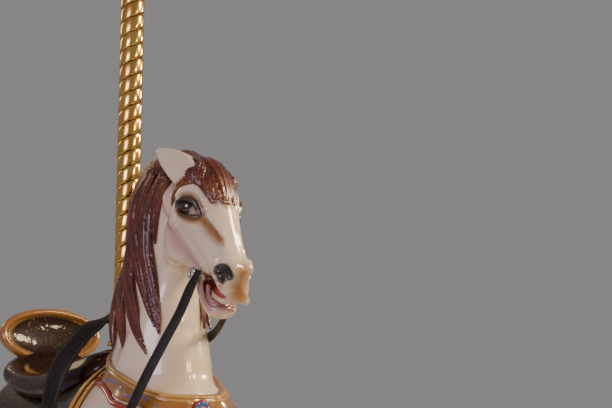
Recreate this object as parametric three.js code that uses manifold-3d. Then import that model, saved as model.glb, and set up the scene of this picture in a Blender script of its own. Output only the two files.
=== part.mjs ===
// A galloping fairground carousel horse on its twisted brass pole, with the floor spigot that guides the pole.
// Millimetres, +Z up. The horse faces +X and +Y is its left side. The pole stands on the Z axis, and z = 0 is
// the underside of the floor flange, with the horse halfway up its stroke.
import * as THREE from "three";
import { mergeVertices } from "three/addons/utils/BufferGeometryUtils.js";
import Module from "manifold-3d";

const wasm = await Module();
wasm.setup();

// Driving dimensions
const POLE_DIAMETER = 63;
const POLE_FOOT_Z = 280;
const POLE_TOP_Z = 2300;
const SADDLE_TOP_Z = 1204;
const BELLY_Z = 732;
const SEAT_GAP = 0.3;
const BODY_SIDES = 24;

// Reach of cutting solids: past both flanks, below and above the body, and where a flank starts.
const FAR_SIDE = 400;
const FAR_BELOW = 600;
const FAR_ABOVE = 1400;
const FLANK = 90;

const RIGHT = -1;
const LEFT = 1;

// Each paint's colour, roughness and metalness.
const PAINT = {
  cream: [0xe9dcc0, 0.18, 0],
  chestnut: [0x5a1a0c, 0.15, 0],
  ochre: [0xb5742a, 0.2, 0],
  red: [0xa8140f, 0.18, 0],
  saddle: [0x2a160c, 0.12, 0],
  leather: [0x0d0b0b, 0.45, 0],
  brass: [0xd9a441, 0.2, 1],
  steel: [0x8d9196, 0.35, 1],
  eye: [0x120a08, 0.05, 0],
  hoof: [0x3a2a1c, 0.3, 0],
};

const horse = new THREE.Group();

function material(paint) {
  const [color, roughness, metalness] = PAINT[paint];
  return new THREE.MeshStandardMaterial({ color, roughness, metalness });
}

// Adds one solid to the group as a named mesh.
function place(name, solid, paint) {
  const geometry = solid.isBufferGeometry ? solid : toGeometry(solid);
  const mesh = new THREE.Mesh(geometry, material(paint));
  mesh.name = name;
  horse.add(mesh);
  return mesh;
}

// A closed BufferGeometry as a manifold-3d solid, for joins and cuts.
function toSolid(geometry) {
  const bare = geometry.index ? geometry.toNonIndexed() : geometry.clone();
  bare.deleteAttribute("normal");
  bare.deleteAttribute("uv");
  const merged = mergeVertices(bare, 1e-3);
  return new wasm.Manifold(
    new wasm.Mesh({
      numProp: 3,
      vertProperties: merged.getAttribute("position").array,
      triVerts: new Uint32Array(merged.index.array),
    }),
  );
}

function toGeometry(solid) {
  const mesh = solid.getMesh();
  const geometry = new THREE.BufferGeometry();
  geometry.setAttribute("position", new THREE.BufferAttribute(mesh.vertProperties, 3));
  geometry.setIndex(new THREE.BufferAttribute(mesh.triVerts, 1));
  geometry.computeVertexNormals();
  return geometry;
}

// Closes a stack of rings, each a list of Vector3, with a fan at each end.
function skin(rings) {
  const sides = rings[0].length;
  const points = rings.flat();
  const faces = [];
  for (let r = 0; r + 1 < rings.length; r++)
    for (let s = 0; s < sides; s++) {
      const a = r * sides + s;
      const b = r * sides + ((s + 1) % sides);
      faces.push(a, b, b + sides, a, b + sides, a + sides);
    }
  for (const [ring, turn] of [[0, 1], [rings.length - 1, -1]]) {
    const middle = new THREE.Vector3();
    rings[ring].forEach((p) => middle.addScaledVector(p, 1 / sides));
    const hub = points.push(middle) - 1;
    for (let s = 0; s < sides; s++) {
      const a = ring * sides + s;
      const b = ring * sides + ((s + 1) % sides);
      faces.push(...(turn > 0 ? [hub, b, a] : [hub, a, b]));
    }
  }
  const geometry = new THREE.BufferGeometry().setFromPoints(points);
  geometry.setIndex(faces);
  const solid = toSolid(geometry);
  return solid.volume() < 0 ? toSolid(flipped(geometry)) : solid;
}

function flipped(geometry) {
  const index = geometry.index.array;
  for (let i = 0; i < index.length; i += 3) [index[i + 1], index[i + 2]] = [index[i + 2], index[i + 1]];
  return geometry;
}

// Rows of numbers, smoothed by a Catmull-Rom spline through each column.
function smoothRows(rows, steps) {
  const at = (i, k) => rows[Math.min(Math.max(i, 0), rows.length - 1)][k];
  const out = [];
  for (let i = 0; i + 1 < rows.length; i++)
    for (let s = 0; s < steps; s++) {
      const t = s / steps;
      out.push(
        rows[i].map((_, k) => {
          const [a, b, c, d] = [at(i - 1, k), at(i, k), at(i + 1, k), at(i + 2, k)];
          const [square, cube] = [2 * a - 5 * b + 4 * c - d, 3 * b - a - 3 * c + d];
          return 0.5 * (2 * b + (c - a) * t + square * t ** 2 + cube * t ** 3);
        }),
      );
    }
  out.push(rows[rows.length - 1]);
  return out;
}

// A body drawn in the horse's middle plane. Each row is [upper x, upper z, lower x, lower z, half width, egg]:
// egg above 0 makes the section wider near its upper end. grow thickens the whole body for a fit.
function profileBody(rows, { sides = BODY_SIDES, grow = 0 } = {}) {
  const rings = rows.map(([ux, uz, lx, lz, half, egg]) => {
    const axis = new THREE.Vector2(ux - lx, uz - lz);
    const reach = axis.length() / 2 + grow;
    axis.normalize();
    const [cx, cz] = [(ux + lx) / 2, (uz + lz) / 2];
    return Array.from({ length: sides }, (_, s) => {
      const turn = (2 * Math.PI * s) / sides;
      const along = Math.cos(turn) * reach;
      const across = Math.sin(turn) * (half + grow) * (1 + egg * Math.cos(turn));
      return new THREE.Vector3(cx + axis.x * along, across, cz + axis.y * along);
    });
  });
  return skin(grow ? extended(rings, grow) : rings);
}

// Moves the first and last ring outwards along the body, so that a grown body is longer too.
function extended(rings, by) {
  const middle = (ring) => ring.reduce((sum, p) => sum.add(p), new THREE.Vector3()).divideScalar(ring.length);
  for (const [end, next] of [[0, 1], [rings.length - 1, rings.length - 2]]) {
    const out = middle(rings[end]).sub(middle(rings[next])).setLength(by);
    rings[end].forEach((p) => p.add(out));
  }
  return rings;
}

// Which way a line of [x, y, z, ...] rows runs at one of them.
function direction(rows, i) {
  const before = rows[Math.max(i - 1, 0)];
  const after = rows[Math.min(i + 1, rows.length - 1)];
  return new THREE.Vector3(after[0] - before[0], after[1] - before[1], after[2] - before[2]).normalize();
}

// A limb along its own middle line. Each row is [x, y, z, fore-and-aft radius, side-to-side radius].
function limb(rows, { sides = 12, grow = 0 } = {}) {
  const rings = rows.map(([x, y, z, deep, wide], i) => {
    const along = direction(rows, i);
    const side = new THREE.Vector3(0, 1, 0).addScaledVector(along, -along.y).normalize();
    const fore = new THREE.Vector3().crossVectors(side, along);
    return Array.from({ length: sides }, (_, s) => {
      const turn = (2 * Math.PI * s) / sides;
      return new THREE.Vector3(x, y, z)
        .addScaledVector(fore, Math.cos(turn) * (deep + grow))
        .addScaledVector(side, Math.sin(turn) * (wide + grow));
    });
  });
  return skin(grow ? extended(rings, grow) : rings);
}

function cylinder(radius, low, high, sides = 32) {
  const geometry = new THREE.CylinderGeometry(radius, radius, high - low, sides);
  geometry.rotateX(Math.PI / 2);
  geometry.translate(0, 0, (low + high) / 2);
  return toSolid(geometry);
}

// Horse

const TORSO = [
  [395, 1035, 395, 965, 34, 0],
  [378, 1085, 375, 885, 92, 0],
  [335, 1128, 330, 822, 138, 0],
  [250, 1158, 250, 775, 164, 0.02],
  [140, 1170, 140, 745, 176, -0.02],
  [20, 1152, 20, 732, 178, -0.06],
  [-120, 1128, -120, 728, 174, -0.08],
  [-260, 1122, -260, 742, 168, -0.06],
  [-390, 1138, -390, 765, 168, 0],
  [-500, 1150, -500, 795, 160, 0.03],
  [-590, 1130, -590, 835, 130, 0.03],
  [-640, 1085, -640, 885, 88, 0],
  [-662, 1035, -662, 940, 38, 0],
];

const NECK = [
  [30, 1110, 372, 1000, 136, 0],
  [60, 1178, 366, 1068, 122, 0],
  [72, 1246, 342, 1152, 105, 0],
  [88, 1322, 316, 1238, 90, 0],
  [108, 1400, 302, 1318, 80, 0],
  [138, 1476, 310, 1388, 73, 0],
  [184, 1546, 334, 1436, 67, 0],
  [248, 1597, 366, 1470, 60, 0],
  [318, 1610, 398, 1490, 50, 0],
];

const HEAD = [
  [338, 1600, 318, 1545, 36, 0],
  [372, 1612, 322, 1485, 58, 0.05],
  [412, 1604, 328, 1432, 68, 0.12],
  [448, 1582, 344, 1390, 72, 0.2],
  [480, 1545, 372, 1356, 65, 0.14],
  [504, 1498, 407, 1332, 53, 0.05],
  [522, 1452, 441, 1320, 46, 0],
  [539, 1412, 472, 1338, 42, 0],
  [557, 1376, 500, 1314, 46, 0.05],
  [574, 1350, 526, 1292, 49, 0.05],
  [572, 1326, 545, 1281, 34, 0],
  [568, 1306, 556, 1284, 20, 0],
];

const LOWER_JAW = [
  [446, 1350, 404, 1335, 37, 0],
  [458, 1328, 422, 1302, 37, 0],
  [471, 1304, 442, 1274, 36, 0],
  [486, 1286, 464, 1255, 35, 0],
  [501, 1278, 489, 1249, 31, 0],
  [511, 1276, 507, 1258, 18, 0],
];

const LEGS = {
  fore_leg_right: [
    [250, -92, 940, 88, 64],
    [272, -98, 850, 72, 58],
    [320, -98, 785, 52, 46],
    [370, -96, 735, 38, 36],
    [412, -95, 700, 36, 34],
    [404, -95, 650, 29, 27],
    [375, -95, 588, 22, 20],
    [348, -95, 522, 22, 20],
    [332, -95, 484, 29, 26],
    [324, -95, 452, 24, 24],
    [326, -95, 425, 29, 29],
  ],
  fore_leg_left: [
    [250, 92, 940, 88, 64],
    [288, 98, 862, 72, 58],
    [348, 98, 815, 52, 46],
    [408, 96, 790, 38, 36],
    [455, 95, 768, 36, 34],
    [458, 95, 718, 29, 27],
    [430, 95, 655, 22, 20],
    [395, 95, 592, 22, 20],
    [374, 95, 556, 29, 26],
    [360, 95, 528, 24, 24],
    [352, 95, 500, 29, 29],
  ],
  hind_leg_right: [
    [-470, -90, 940, 128, 68],
    [-485, -94, 850, 104, 62],
    [-512, -96, 775, 70, 50],
    [-565, -95, 712, 48, 38],
    [-628, -94, 660, 40, 33],
    [-662, -94, 600, 30, 27],
    [-690, -94, 535, 24, 22],
    [-715, -94, 472, 24, 22],
    [-735, -94, 432, 30, 27],
    [-757, -94, 405, 25, 24],
    [-783, -94, 385, 29, 29],
  ],
  hind_leg_left: [
    [-470, 90, 940, 128, 68],
    [-462, 94, 850, 104, 62],
    [-458, 96, 775, 72, 52],
    [-495, 95, 700, 50, 39],
    [-550, 94, 642, 40, 33],
    [-580, 94, 580, 30, 27],
    [-600, 94, 515, 24, 22],
    [-618, 94, 452, 24, 22],
    [-635, 94, 412, 30, 27],
    [-655, 94, 385, 25, 24],
    [-681, 94, 365, 29, 29],
  ],
};

// The round cheek plates that stand out on both sides of the jaw.
const JOWL = { x: 366, y: 37, z: 1458, long: 88, deep: 62, thick: 33, lean: 0.45 };

function jowl(side, grow) {
  const geometry = new THREE.SphereGeometry(1, 14, 10);
  geometry.rotateX(Math.PI / 2);
  geometry.scale(JOWL.deep + grow, JOWL.thick + grow, JOWL.long + grow);
  geometry.rotateY(JOWL.lean);
  geometry.translate(JOWL.x, side * JOWL.y, JOWL.z);
  return toSolid(geometry);
}

function headSolid(grow = 0) {
  const skull = profileBody(HEAD, { grow, sides: 20 });
  return skull.add(jowl(RIGHT, grow)).add(jowl(LEFT, grow));
}

const torsoFit = profileBody(TORSO, { grow: SEAT_GAP });
const neckFit = profileBody(NECK, { grow: SEAT_GAP });
const headFit = headSolid(SEAT_GAP);
const barrelFit = torsoFit.add(neckFit);
const horseFit = barrelFit.add(headFit);

// How far the horse's skin lies from the middle plane at a point of its side view.
const skinMesh = new THREE.Mesh(toGeometry(horseFit), new THREE.MeshBasicMaterial({ side: THREE.DoubleSide }));
const caster = new THREE.Raycaster();

function skinReach(x, z) {
  const start = new THREE.Vector3(x, -FAR_SIDE, z);
  caster.set(start, new THREE.Vector3(0, 1, 0));
  const [hit] = caster.intersectObject(skinMesh);
  return hit ? -hit.point.y : 0;
}

// A ring of metal or leather round the pole.
function ring(inner, outer, low, high, sides = 32) {
  return cylinder(outer, low, high, sides).subtract(cylinder(inner, low - 1, high + 1, sides));
}

// A flat outline in the side view, given in x and z, as a slab between two distances from the middle plane.
function slab(outline, from, to) {
  const shape = new THREE.Shape(outline.map(([x, z]) => new THREE.Vector2(x, z)));
  const geometry = new THREE.ExtrudeGeometry(shape, { depth: to - from, bevelEnabled: false });
  geometry.rotateX(Math.PI / 2);
  geometry.translate(0, to, 0);
  return toSolid(geometry);
}

function ellipsoid([x, y, z], [rx, ry, rz], lean = 0, sides = 20) {
  const geometry = new THREE.SphereGeometry(1, sides, sides / 2);
  geometry.rotateX(Math.PI / 2);
  geometry.scale(rx, ry, rz);
  geometry.rotateY(lean);
  geometry.translate(x, y, z);
  return toSolid(geometry);
}

// A flat strap along a 3-D path. Each row is [x, y, z, normal x, normal y, normal z, half width].
function strap(rows, thickness) {
  const fine = smoothRows(rows, 2);
  const rings = fine.map((row, i) => {
    const point = new THREE.Vector3(row[0], row[1], row[2]);
    const along = direction(fine, i);
    const out = new THREE.Vector3(row[3], row[4], row[5]);
    out.addScaledVector(along, -out.dot(along)).normalize();
    const across = new THREE.Vector3().crossVectors(along, out);
    const corners = [[-1, -1], [1, -1], [1, 1], [-1, 1]];
    return corners.map(([a, o]) =>
      point
        .clone()
        .addScaledVector(across, a * row[6])
        .addScaledVector(out, (o * thickness) / 2),
    );
  });
  return skin(rings);
}

// A carved lock of hair that lies on the horse's skin. Each row is [x, z, half width, lift].
function lock(rows, side, grow = 0, sides = 10) {
  const points = rows.map(([x, z, , lift]) => new THREE.Vector3(x, side * (skinReach(x, z) + lift), z));
  const rings = rows.map(([, , width, lift], i) => {
    const [before, after] = [points[Math.max(i - 1, 0)], points[Math.min(i + 1, rows.length - 1)]];
    const along = after.clone().sub(before).normalize();
    const out = new THREE.Vector3(0, side, 0).addScaledVector(along, -side * along.y).normalize();
    const across = new THREE.Vector3().crossVectors(along, out);
    const thick = lift + LOCK_SINK + grow;
    const half = width + grow;
    return Array.from({ length: sides }, (_, s) => {
      const turn = (2 * Math.PI * s) / sides;
      return points[i]
        .clone()
        .addScaledVector(across, Math.cos(turn) * half)
        .addScaledVector(out, Math.sin(turn) * thick);
    });
  });
  return skin(grow ? extended(rings, grow) : rings);
}

// Pole, its fittings and the floor spigot

const POLE = {
  bore: 19.5,
  bush: 16.5,
  core: 26,
  footHeight: 30,
  footRadius: 37,
  ferrule: 43,
  ferruleHeight: 22,
  ferruleSink: 8,
  hangerNeck: 28,
  eyeHeight: 70,
  eyeRadius: 32,
  eyeBore: 15,
  eyeThickness: 26,
  lugWidth: 51,
};
const SPIGOT = {
  radius: 16,
  foot: 4,
  top: 1000,
  hub: 34,
  hubTop: 62,
  flange: 105,
  flangeHeight: 16,
  bolts: 4,
  boltCircle: 80,
  bolt: 7,
};
const poleRadius = POLE_DIAMETER / 2;
const footTop = POLE_FOOT_Z + POLE.footHeight;

function floorFlange() {
  let plate = cylinder(SPIGOT.flange, 0, SPIGOT.flangeHeight, 48);
  plate = plate.add(cylinder(SPIGOT.hub, SPIGOT.flangeHeight - 1, SPIGOT.hubTop, 32));
  plate = plate.subtract(cylinder(SPIGOT.radius + SEAT_GAP, SPIGOT.foot, SPIGOT.hubTop + 1, 24));
  for (let i = 0; i < SPIGOT.bolts; i++) {
    const turn = ((i + 0.5) * 2 * Math.PI) / SPIGOT.bolts;
    const hole = cylinder(SPIGOT.bolt, -1, SPIGOT.flangeHeight + 1, 16);
    plate = plate.subtract(
      hole.translate([SPIGOT.boltCircle * Math.cos(turn), SPIGOT.boltCircle * Math.sin(turn), 0]),
    );
  }
  return plate;
}

function hangerEye() {
  const low = POLE_TOP_Z + SEAT_GAP;
  const eye = new THREE.CylinderGeometry(POLE.eyeRadius, POLE.eyeRadius, POLE.eyeThickness, 32);
  eye.translate(0, 0, low + POLE.eyeHeight);
  eye.deleteAttribute("uv");
  const hole = new THREE.CylinderGeometry(POLE.eyeBore, POLE.eyeBore, POLE.eyeThickness * 2, 24);
  hole.translate(0, 0, low + POLE.eyeHeight);
  const lug = new THREE.BoxGeometry(POLE.lugWidth, POLE.eyeThickness, POLE.eyeHeight);
  lug.translate(0, 0, low + POLE.eyeHeight / 2);
  const base = cylinder(poleRadius, low, low + POLE.hangerNeck);
  return base.add(toSolid(lug)).add(toSolid(eye)).subtract(toSolid(hole));
}

function buildPole() {
  place("floor_flange", floorFlange(), "steel");
  place("spigot_rod", cylinder(SPIGOT.radius, SPIGOT.foot + SEAT_GAP, SPIGOT.top, 24), "steel");
  place("pole_core_tube", ring(POLE.bore, POLE.core, footTop + SEAT_GAP, POLE_TOP_Z, 24), "steel");
  place("brass_sleeve", ring(POLE.core + SEAT_GAP, poleRadius, footTop + SEAT_GAP, POLE_TOP_Z, 24), "brass");
  place("foot_ferrule", ring(POLE.bush, POLE.footRadius, POLE_FOOT_Z, footTop, 24), "brass");
  const ferrule = (low, high) => ring(poleRadius + SEAT_GAP, POLE.ferrule, low, high, 24);
  place("saddle_ferrule", ferrule(SADDLE_TOP_Z, SADDLE_TOP_Z + POLE.ferruleHeight), "brass");
  const belly = ferrule(BELLY_Z - POLE.ferruleHeight, BELLY_Z + POLE.ferruleSink);
  place("belly_ferrule", belly.subtract(torsoFit), "brass");
  place("hanger_eye", hangerEye(), "steel");
}

// Head, eyes, ears and hair

const EYE = { x: 436, y: 57, z: 1500, radius: 17 };
const BIT = { x: 448, z: 1343, bar: 5, reach: 52, barEnd: 3, ring: 15, wire: 3.6, ringBack: 8, ringDrop: 12 };
const LOCK_SINK = 6;
const HAIR_GAP = 0.6;
const CREST = { firstRow: 2, lift: 20, endLift: 8, cover: 0.46, width: 0.86, endWidth: 0.6, padding: 11 };

const EAR = [
  [386, 50, 1552, 14, 13],
  [378, 58, 1576, 27, 15],
  [362, 66, 1600, 35, 14],
  [340, 73, 1621, 31, 12],
  [316, 79, 1637, 19, 9],
  [299, 83, 1645, 6, 5],
];

const FORELOCK = [
  [296, 0, 1612, 12, 20],
  [345, 0, 1618, 24, 38],
  [398, 0, 1612, 26, 52],
  [442, 0, 1590, 26, 56],
  [474, 0, 1556, 20, 50],
  [494, 0, 1516, 12, 36],
  [504, 0, 1490, 4, 20],
];

const TEMPLE_LOCK = [
  [392, 34, 1626, 22, 16],
  [399, 56, 1592, 17, 14],
  [405, 67, 1554, 12, 12],
  [407, 72, 1518, 9, 9],
  [405, 72, 1492, 3, 3],
];

const RIGHT_LOCKS = {
  mane_lock_right_1: [
    [322, 1575, 14, 6],
    [303, 1540, 20, 9],
    [292, 1500, 19, 9],
    [285, 1462, 12, 6],
    [281, 1426, 3, 1],
  ],
  mane_lock_right_2: [
    [282, 1560, 18, 8],
    [246, 1500, 36, 12],
    [230, 1445, 43, 14],
    [232, 1392, 41, 14],
    [250, 1338, 27, 11],
    [272, 1290, 15, 7],
    [288, 1250, 9, 4],
    [298, 1220, 3, 1],
  ],
  mane_lock_right_3: [
    [205, 1410, 20, 8],
    [178, 1360, 38, 12],
    [172, 1305, 44, 14],
    [196, 1256, 36, 12],
    [236, 1222, 26, 9],
    [268, 1198, 13, 5],
    [292, 1172, 3, 1],
  ],
  mane_lock_right_4: [
    [112, 1330, 18, 6],
    [104, 1278, 28, 10],
    [118, 1232, 24, 9],
    [134, 1200, 10, 5],
    [146, 1176, 3, 1],
  ],
};

const LEFT_LOCKS = {
  mane_lock_left_1: [
    [318, 1570, 16, 6],
    [292, 1520, 26, 10],
    [278, 1465, 22, 9],
    [276, 1410, 10, 4],
    [284, 1372, 3, 1],
  ],
  mane_lock_left_2: [
    [250, 1520, 26, 9],
    [215, 1450, 42, 13],
    [205, 1385, 42, 13],
    [222, 1320, 28, 10],
    [252, 1265, 10, 4],
    [266, 1232, 3, 1],
  ],
  mane_lock_left_3: [
    [158, 1380, 28, 9],
    [140, 1312, 44, 13],
    [152, 1250, 38, 12],
    [190, 1205, 20, 7],
    [226, 1170, 3, 1],
  ],
};

// The mane's mass: the back of the neck thickened, from the poll down to the withers.
function maneCrest(grow = 0) {
  const rows = NECK.slice(CREST.firstRow).map(([cx, cz, fx, fz, half], i, all) => {
    const atEnd = i === 0 || i === all.length - 1;
    const lift = atEnd ? CREST.endLift : CREST.lift;
    const share = atEnd ? CREST.endWidth : CREST.width;
    const length = Math.hypot(fx - cx, fz - cz);
    const [ax, az] = [(cx - fx) / length, (cz - fz) / length];
    const low = CREST.cover * length;
    return [cx + ax * lift, cz + az * lift, cx - ax * low, cz - az * low, half * share + CREST.padding, 0];
  });
  return profileBody(rows, { sides: 18, grow });
}

function headHoles() {
  const bar = new THREE.CylinderGeometry(BIT.bar + SEAT_GAP, BIT.bar + SEAT_GAP, 3 * BIT.reach, 12);
  bar.translate(BIT.x, 0, BIT.z);
  const hollow = Array(3).fill(EYE.radius + SEAT_GAP);
  const socket = (side) => ellipsoid([EYE.x, side * EYE.y, EYE.z], hollow, 0, 12);
  return toSolid(bar).add(socket(RIGHT)).add(socket(LEFT));
}

function bit() {
  const bar = new THREE.CylinderGeometry(BIT.bar, BIT.bar, 2 * (BIT.reach + BIT.barEnd), 12);
  bar.translate(BIT.x, 0, BIT.z);
  let solid = toSolid(bar);
  for (const side of [RIGHT, LEFT]) {
    const loop = new THREE.TorusGeometry(BIT.ring, BIT.wire, 6, 16);
    loop.rotateX(Math.PI / 2);
    loop.translate(BIT.x - BIT.ringBack, side * BIT.reach, BIT.z - BIT.ringDrop);
    solid = solid.add(toSolid(loop));
  }
  return solid;
}

const mirrored = (rows) => rows.map(([x, y, ...rest]) => [x, -y, ...rest]);

function buildHead() {
  const holes = headHoles();
  place("head", headSolid().subtract(holes), "cream");
  place("lower_jaw", profileBody(LOWER_JAW, { sides: 14 }).subtract(headFit).subtract(holes), "cream");
  for (const [word, side] of [["right", RIGHT], ["left", LEFT]]) {
    const center = [EYE.x, side * EYE.y, EYE.z];
    place(`eye_${word}`, ellipsoid(center, Array(3).fill(EYE.radius), 0, 12), "eye");
  }
  place("bit", bit(), "steel");

  const crestFit = maneCrest(SEAT_GAP);
  const hairBase = horseFit.add(crestFit);
  place("mane_crest", maneCrest().subtract(horseFit), "chestnut");
  const forelock = limb(FORELOCK, { sides: 16 })
    .add(limb(TEMPLE_LOCK, { sides: 8 }))
    .add(limb(mirrored(TEMPLE_LOCK), { sides: 8 }));
  const forelockFit = limb(FORELOCK, { sides: 16, grow: SEAT_GAP })
    .add(limb(TEMPLE_LOCK, { sides: 8, grow: SEAT_GAP }))
    .add(limb(mirrored(TEMPLE_LOCK), { sides: 8, grow: SEAT_GAP }));
  place("forelock", forelock.subtract(hairBase), "chestnut");
  const hairFit = hairBase.add(forelockFit);
  place("ear_left", limb(EAR, { sides: 10 }).subtract(hairFit), "cream");
  place("ear_right", limb(mirrored(EAR), { sides: 10 }).subtract(hairFit), "cream");
  const earGrown = (rows) => limb(rows, { sides: 10, grow: SEAT_GAP });
  const earFit = earGrown(EAR).add(earGrown(mirrored(EAR)));

  for (const [locks, side] of [[RIGHT_LOCKS, RIGHT], [LEFT_LOCKS, LEFT]]) {
    let under = hairFit.add(earFit);
    for (const [name, rows] of Object.entries(locks)) {
      place(name, largest(lock(rows, side).subtract(under)), "chestnut");
      under = under.add(lock(rows, side, HAIR_GAP));
    }
  }
}

// Keeps only the biggest body of a cut, so that a sliver beyond a neighbour is dropped.
function largest(solid) {
  return solid.decompose().reduce((best, one) => (one.volume() > best.volume() ? one : best));
}

// Legs, hooves and tail

const HOOF = { height: 52, top: 31, bottom: 45, narrow: 0.92 };

const TAIL = [
  [-622, 0, 1092, 26, 22],
  [-668, 0, 1110, 34, 28],
  [-718, 0, 1092, 42, 36],
  [-758, 0, 1030, 46, 42],
  [-776, 0, 940, 48, 46],
  [-788, 0, 840, 44, 44],
  [-806, 0, 750, 32, 34],
  [-836, 0, 680, 16, 18],
  [-862, 0, 645, 4, 5],
];

function hoof(rows) {
  const tip = rows[rows.length - 1];
  const along = direction(rows, rows.length - 1);
  const ringAt = (distance, radius) => {
    const point = new THREE.Vector3(tip[0], tip[1], tip[2]).addScaledVector(along, distance);
    return [point.x, point.y, point.z, radius, radius * HOOF.narrow];
  };
  const waist = ringAt(HOOF.height / 2, (HOOF.top + HOOF.bottom) / 2);
  return limb([ringAt(SEAT_GAP, HOOF.top), waist, ringAt(HOOF.height, HOOF.bottom)], { sides: 16 });
}

function buildLegs() {
  for (const [name, rows] of Object.entries(LEGS)) {
    place(name, limb(rows).subtract(torsoFit), "cream");
    place(name.replace("leg", "hoof"), hoof(rows), "hoof");
  }
  place("tail", limb(TAIL, { sides: 14 }).subtract(torsoFit), "chestnut");
}

// Saddle, cloth, collar and straps

const CLOTH_THICK = 8;
const FLAP_THICK = 9;
const COLLAR_THICK = 8;

const CLOTH_OUTLINE = [
  [78, 1300], [78, 1060], [60, 935], [20, 885], [-60, 862], [-150, 858], [-250, 872], [-340, 902],
  [-430, 948], [-510, 985], [-560, 1010], [-566, 1300],
];
const FLAP_OUTLINE = [
  [64, 1185], [62, 1080], [50, 985], [22, 930], [-28, 908], [-86, 918], [-126, 955], [-148, 1020],
  [-158, 1100], [-162, 1185],
];
const SEAT = [
  [66, 1150, 66, 1090, 40, 0],
  [50, 1186, 50, 1080, 96, 0],
  [0, 1202, 0, 1060, 126, 0],
  [-60, 1188, -60, 1050, 146, 0],
  [-150, 1166, -150, 1045, 156, 0],
  [-260, 1158, -260, 1045, 160, 0],
  [-360, 1170, -360, 1055, 162, 0],
  [-440, 1202, -440, 1075, 158, 0],
  [-500, 1208, -500, 1095, 130, 0],
  [-530, 1180, -530, 1120, 70, 0],
];
const CANTLE = { x: -492, z: 1246, half: 152, tall: 82, thick: 30, rim: 13, lean: -0.28 };
const DISH = { forward: 27, up: 6, depth: 30, half: 130, tall: 68 };

const COLLAR_TOP = [
  [40, 1204], [88, 1192], [134, 1167], [190, 1148], [243, 1131], [306, 1109], [341, 1098], [371, 1088],
  [450, 1078],
];
const COLLAR_LOW = [
  [450, 1006], [392, 1012], [360, 1030], [324, 1056], [281, 1066], [236, 1072], [200, 1092], [160, 1108],
  [112, 1120], [79, 1128],
];
const BORDER_WIDTH = 15;
const BORDER_THICK = 10;

// The torso grown to the outer face of the cloth, with the gap that its neighbours keep.
const clothFit = profileBody(TORSO, { grow: 2 * SEAT_GAP + CLOTH_THICK });

// From the spine's side of a flank to beyond it, as distances from the middle plane.
const flankSpan = (side) => (side > 0 ? [FLANK, FAR_SIDE] : [-FAR_SIDE, -FLANK]);

function cantleBody(half, tall, thick) {
  return ellipsoid([CANTLE.x, 0, CANTLE.z], [thick, half, tall], CANTLE.lean, 20);
}

function buildSaddle() {
  const bore = cylinder(poleRadius + SEAT_GAP, FAR_BELOW, FAR_ABOVE, 24);
  const clothOuter = profileBody(TORSO, { grow: SEAT_GAP + CLOTH_THICK });
  const clothSlab = slab(CLOTH_OUTLINE, -FAR_SIDE, FAR_SIDE);
  place("saddle_cloth", clothOuter.subtract(barrelFit).intersect(clothSlab).subtract(bore), "saddle");

  const seatFlat = profileBody(SEAT, { sides: 20 });
  const seatGrown = profileBody(SEAT, { sides: 20, grow: SEAT_GAP });
  place("saddle_seat", seatFlat.subtract(clothFit).subtract(neckFit).subtract(bore), "saddle");

  const dishCenter = [CANTLE.x + DISH.forward, 0, CANTLE.z + DISH.up];
  const dish = ellipsoid(dishCenter, [DISH.depth, DISH.half, DISH.tall], CANTLE.lean, 16);
  const inner = cantleBody(CANTLE.half - CANTLE.rim, CANTLE.tall - CANTLE.rim, CANTLE.thick);
  const innerFit = cantleBody(
    CANTLE.half - CANTLE.rim + SEAT_GAP,
    CANTLE.tall - CANTLE.rim + SEAT_GAP,
    CANTLE.thick * 3,
  );
  const outer = cantleBody(CANTLE.half, CANTLE.tall, CANTLE.thick);
  const seatBelow = seatGrown.add(clothFit);
  place("cantle", largest(inner.subtract(dish).subtract(seatBelow)), "saddle");
  place("cantle_rim", largest(outer.subtract(innerFit).subtract(seatBelow)), "ochre");

  const flapOuter = profileBody(TORSO, { grow: 2 * SEAT_GAP + CLOTH_THICK + FLAP_THICK });
  const flapShell = flapOuter.subtract(clothFit).subtract(seatGrown);
  place("saddle_flap_right", largest(flapShell.intersect(slab(FLAP_OUTLINE, ...flankSpan(RIGHT)))), "saddle");
  place("saddle_flap_left", largest(flapShell.intersect(slab(FLAP_OUTLINE, ...flankSpan(LEFT)))), "saddle");
}

const GIRTH = { from: 46, to: 90, top: 940, thick: 6 };
const STIRRUP = {
  x: -61,
  strapHalf: 14,
  strapThick: 4,
  strapTop: 1060,
  hang: 942,
  top: 800,
  half: 58,
  wall: 8,
  footplate: 10,
  tread: 55,
  from: 186,
  to: 212,
};
const REIN_THICK = 4;
const STRAP_THICK = 5;
const ROSETTE = { z: 1050, tail: 384, face: 407, radius: 22 };

// The wide strap from behind the pole down the left side; the right side mirrors it.
const POLE_STRAP = [
  [-34.3, 0, 1287, -1, 0, 0, 25],
  [-31, 19, 1286, -1, 0.4, 0.05, 25],
  [-15, 46, 1277, -0.6, 0.5, 0.6, 25],
  [2, 86, 1253, 0, 0.5, 0.86, 25],
  [6, 130, 1216, 0, 0.75, 0.66, 25],
  [2, 170, 1150, 0, 0.93, 0.36, 25],
  [0, 195, 1060, 0, 1, 0.1, 25],
  [0, 205, 960, 0, 1, 0, 25],
  [8, 203, 900, 0, 1, -0.1, 25],
  [32, 182, 850, 0, 0.9, -0.4, 24],
  [62, 155, 806, 0, 0.85, -0.5, 22],
];

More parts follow.
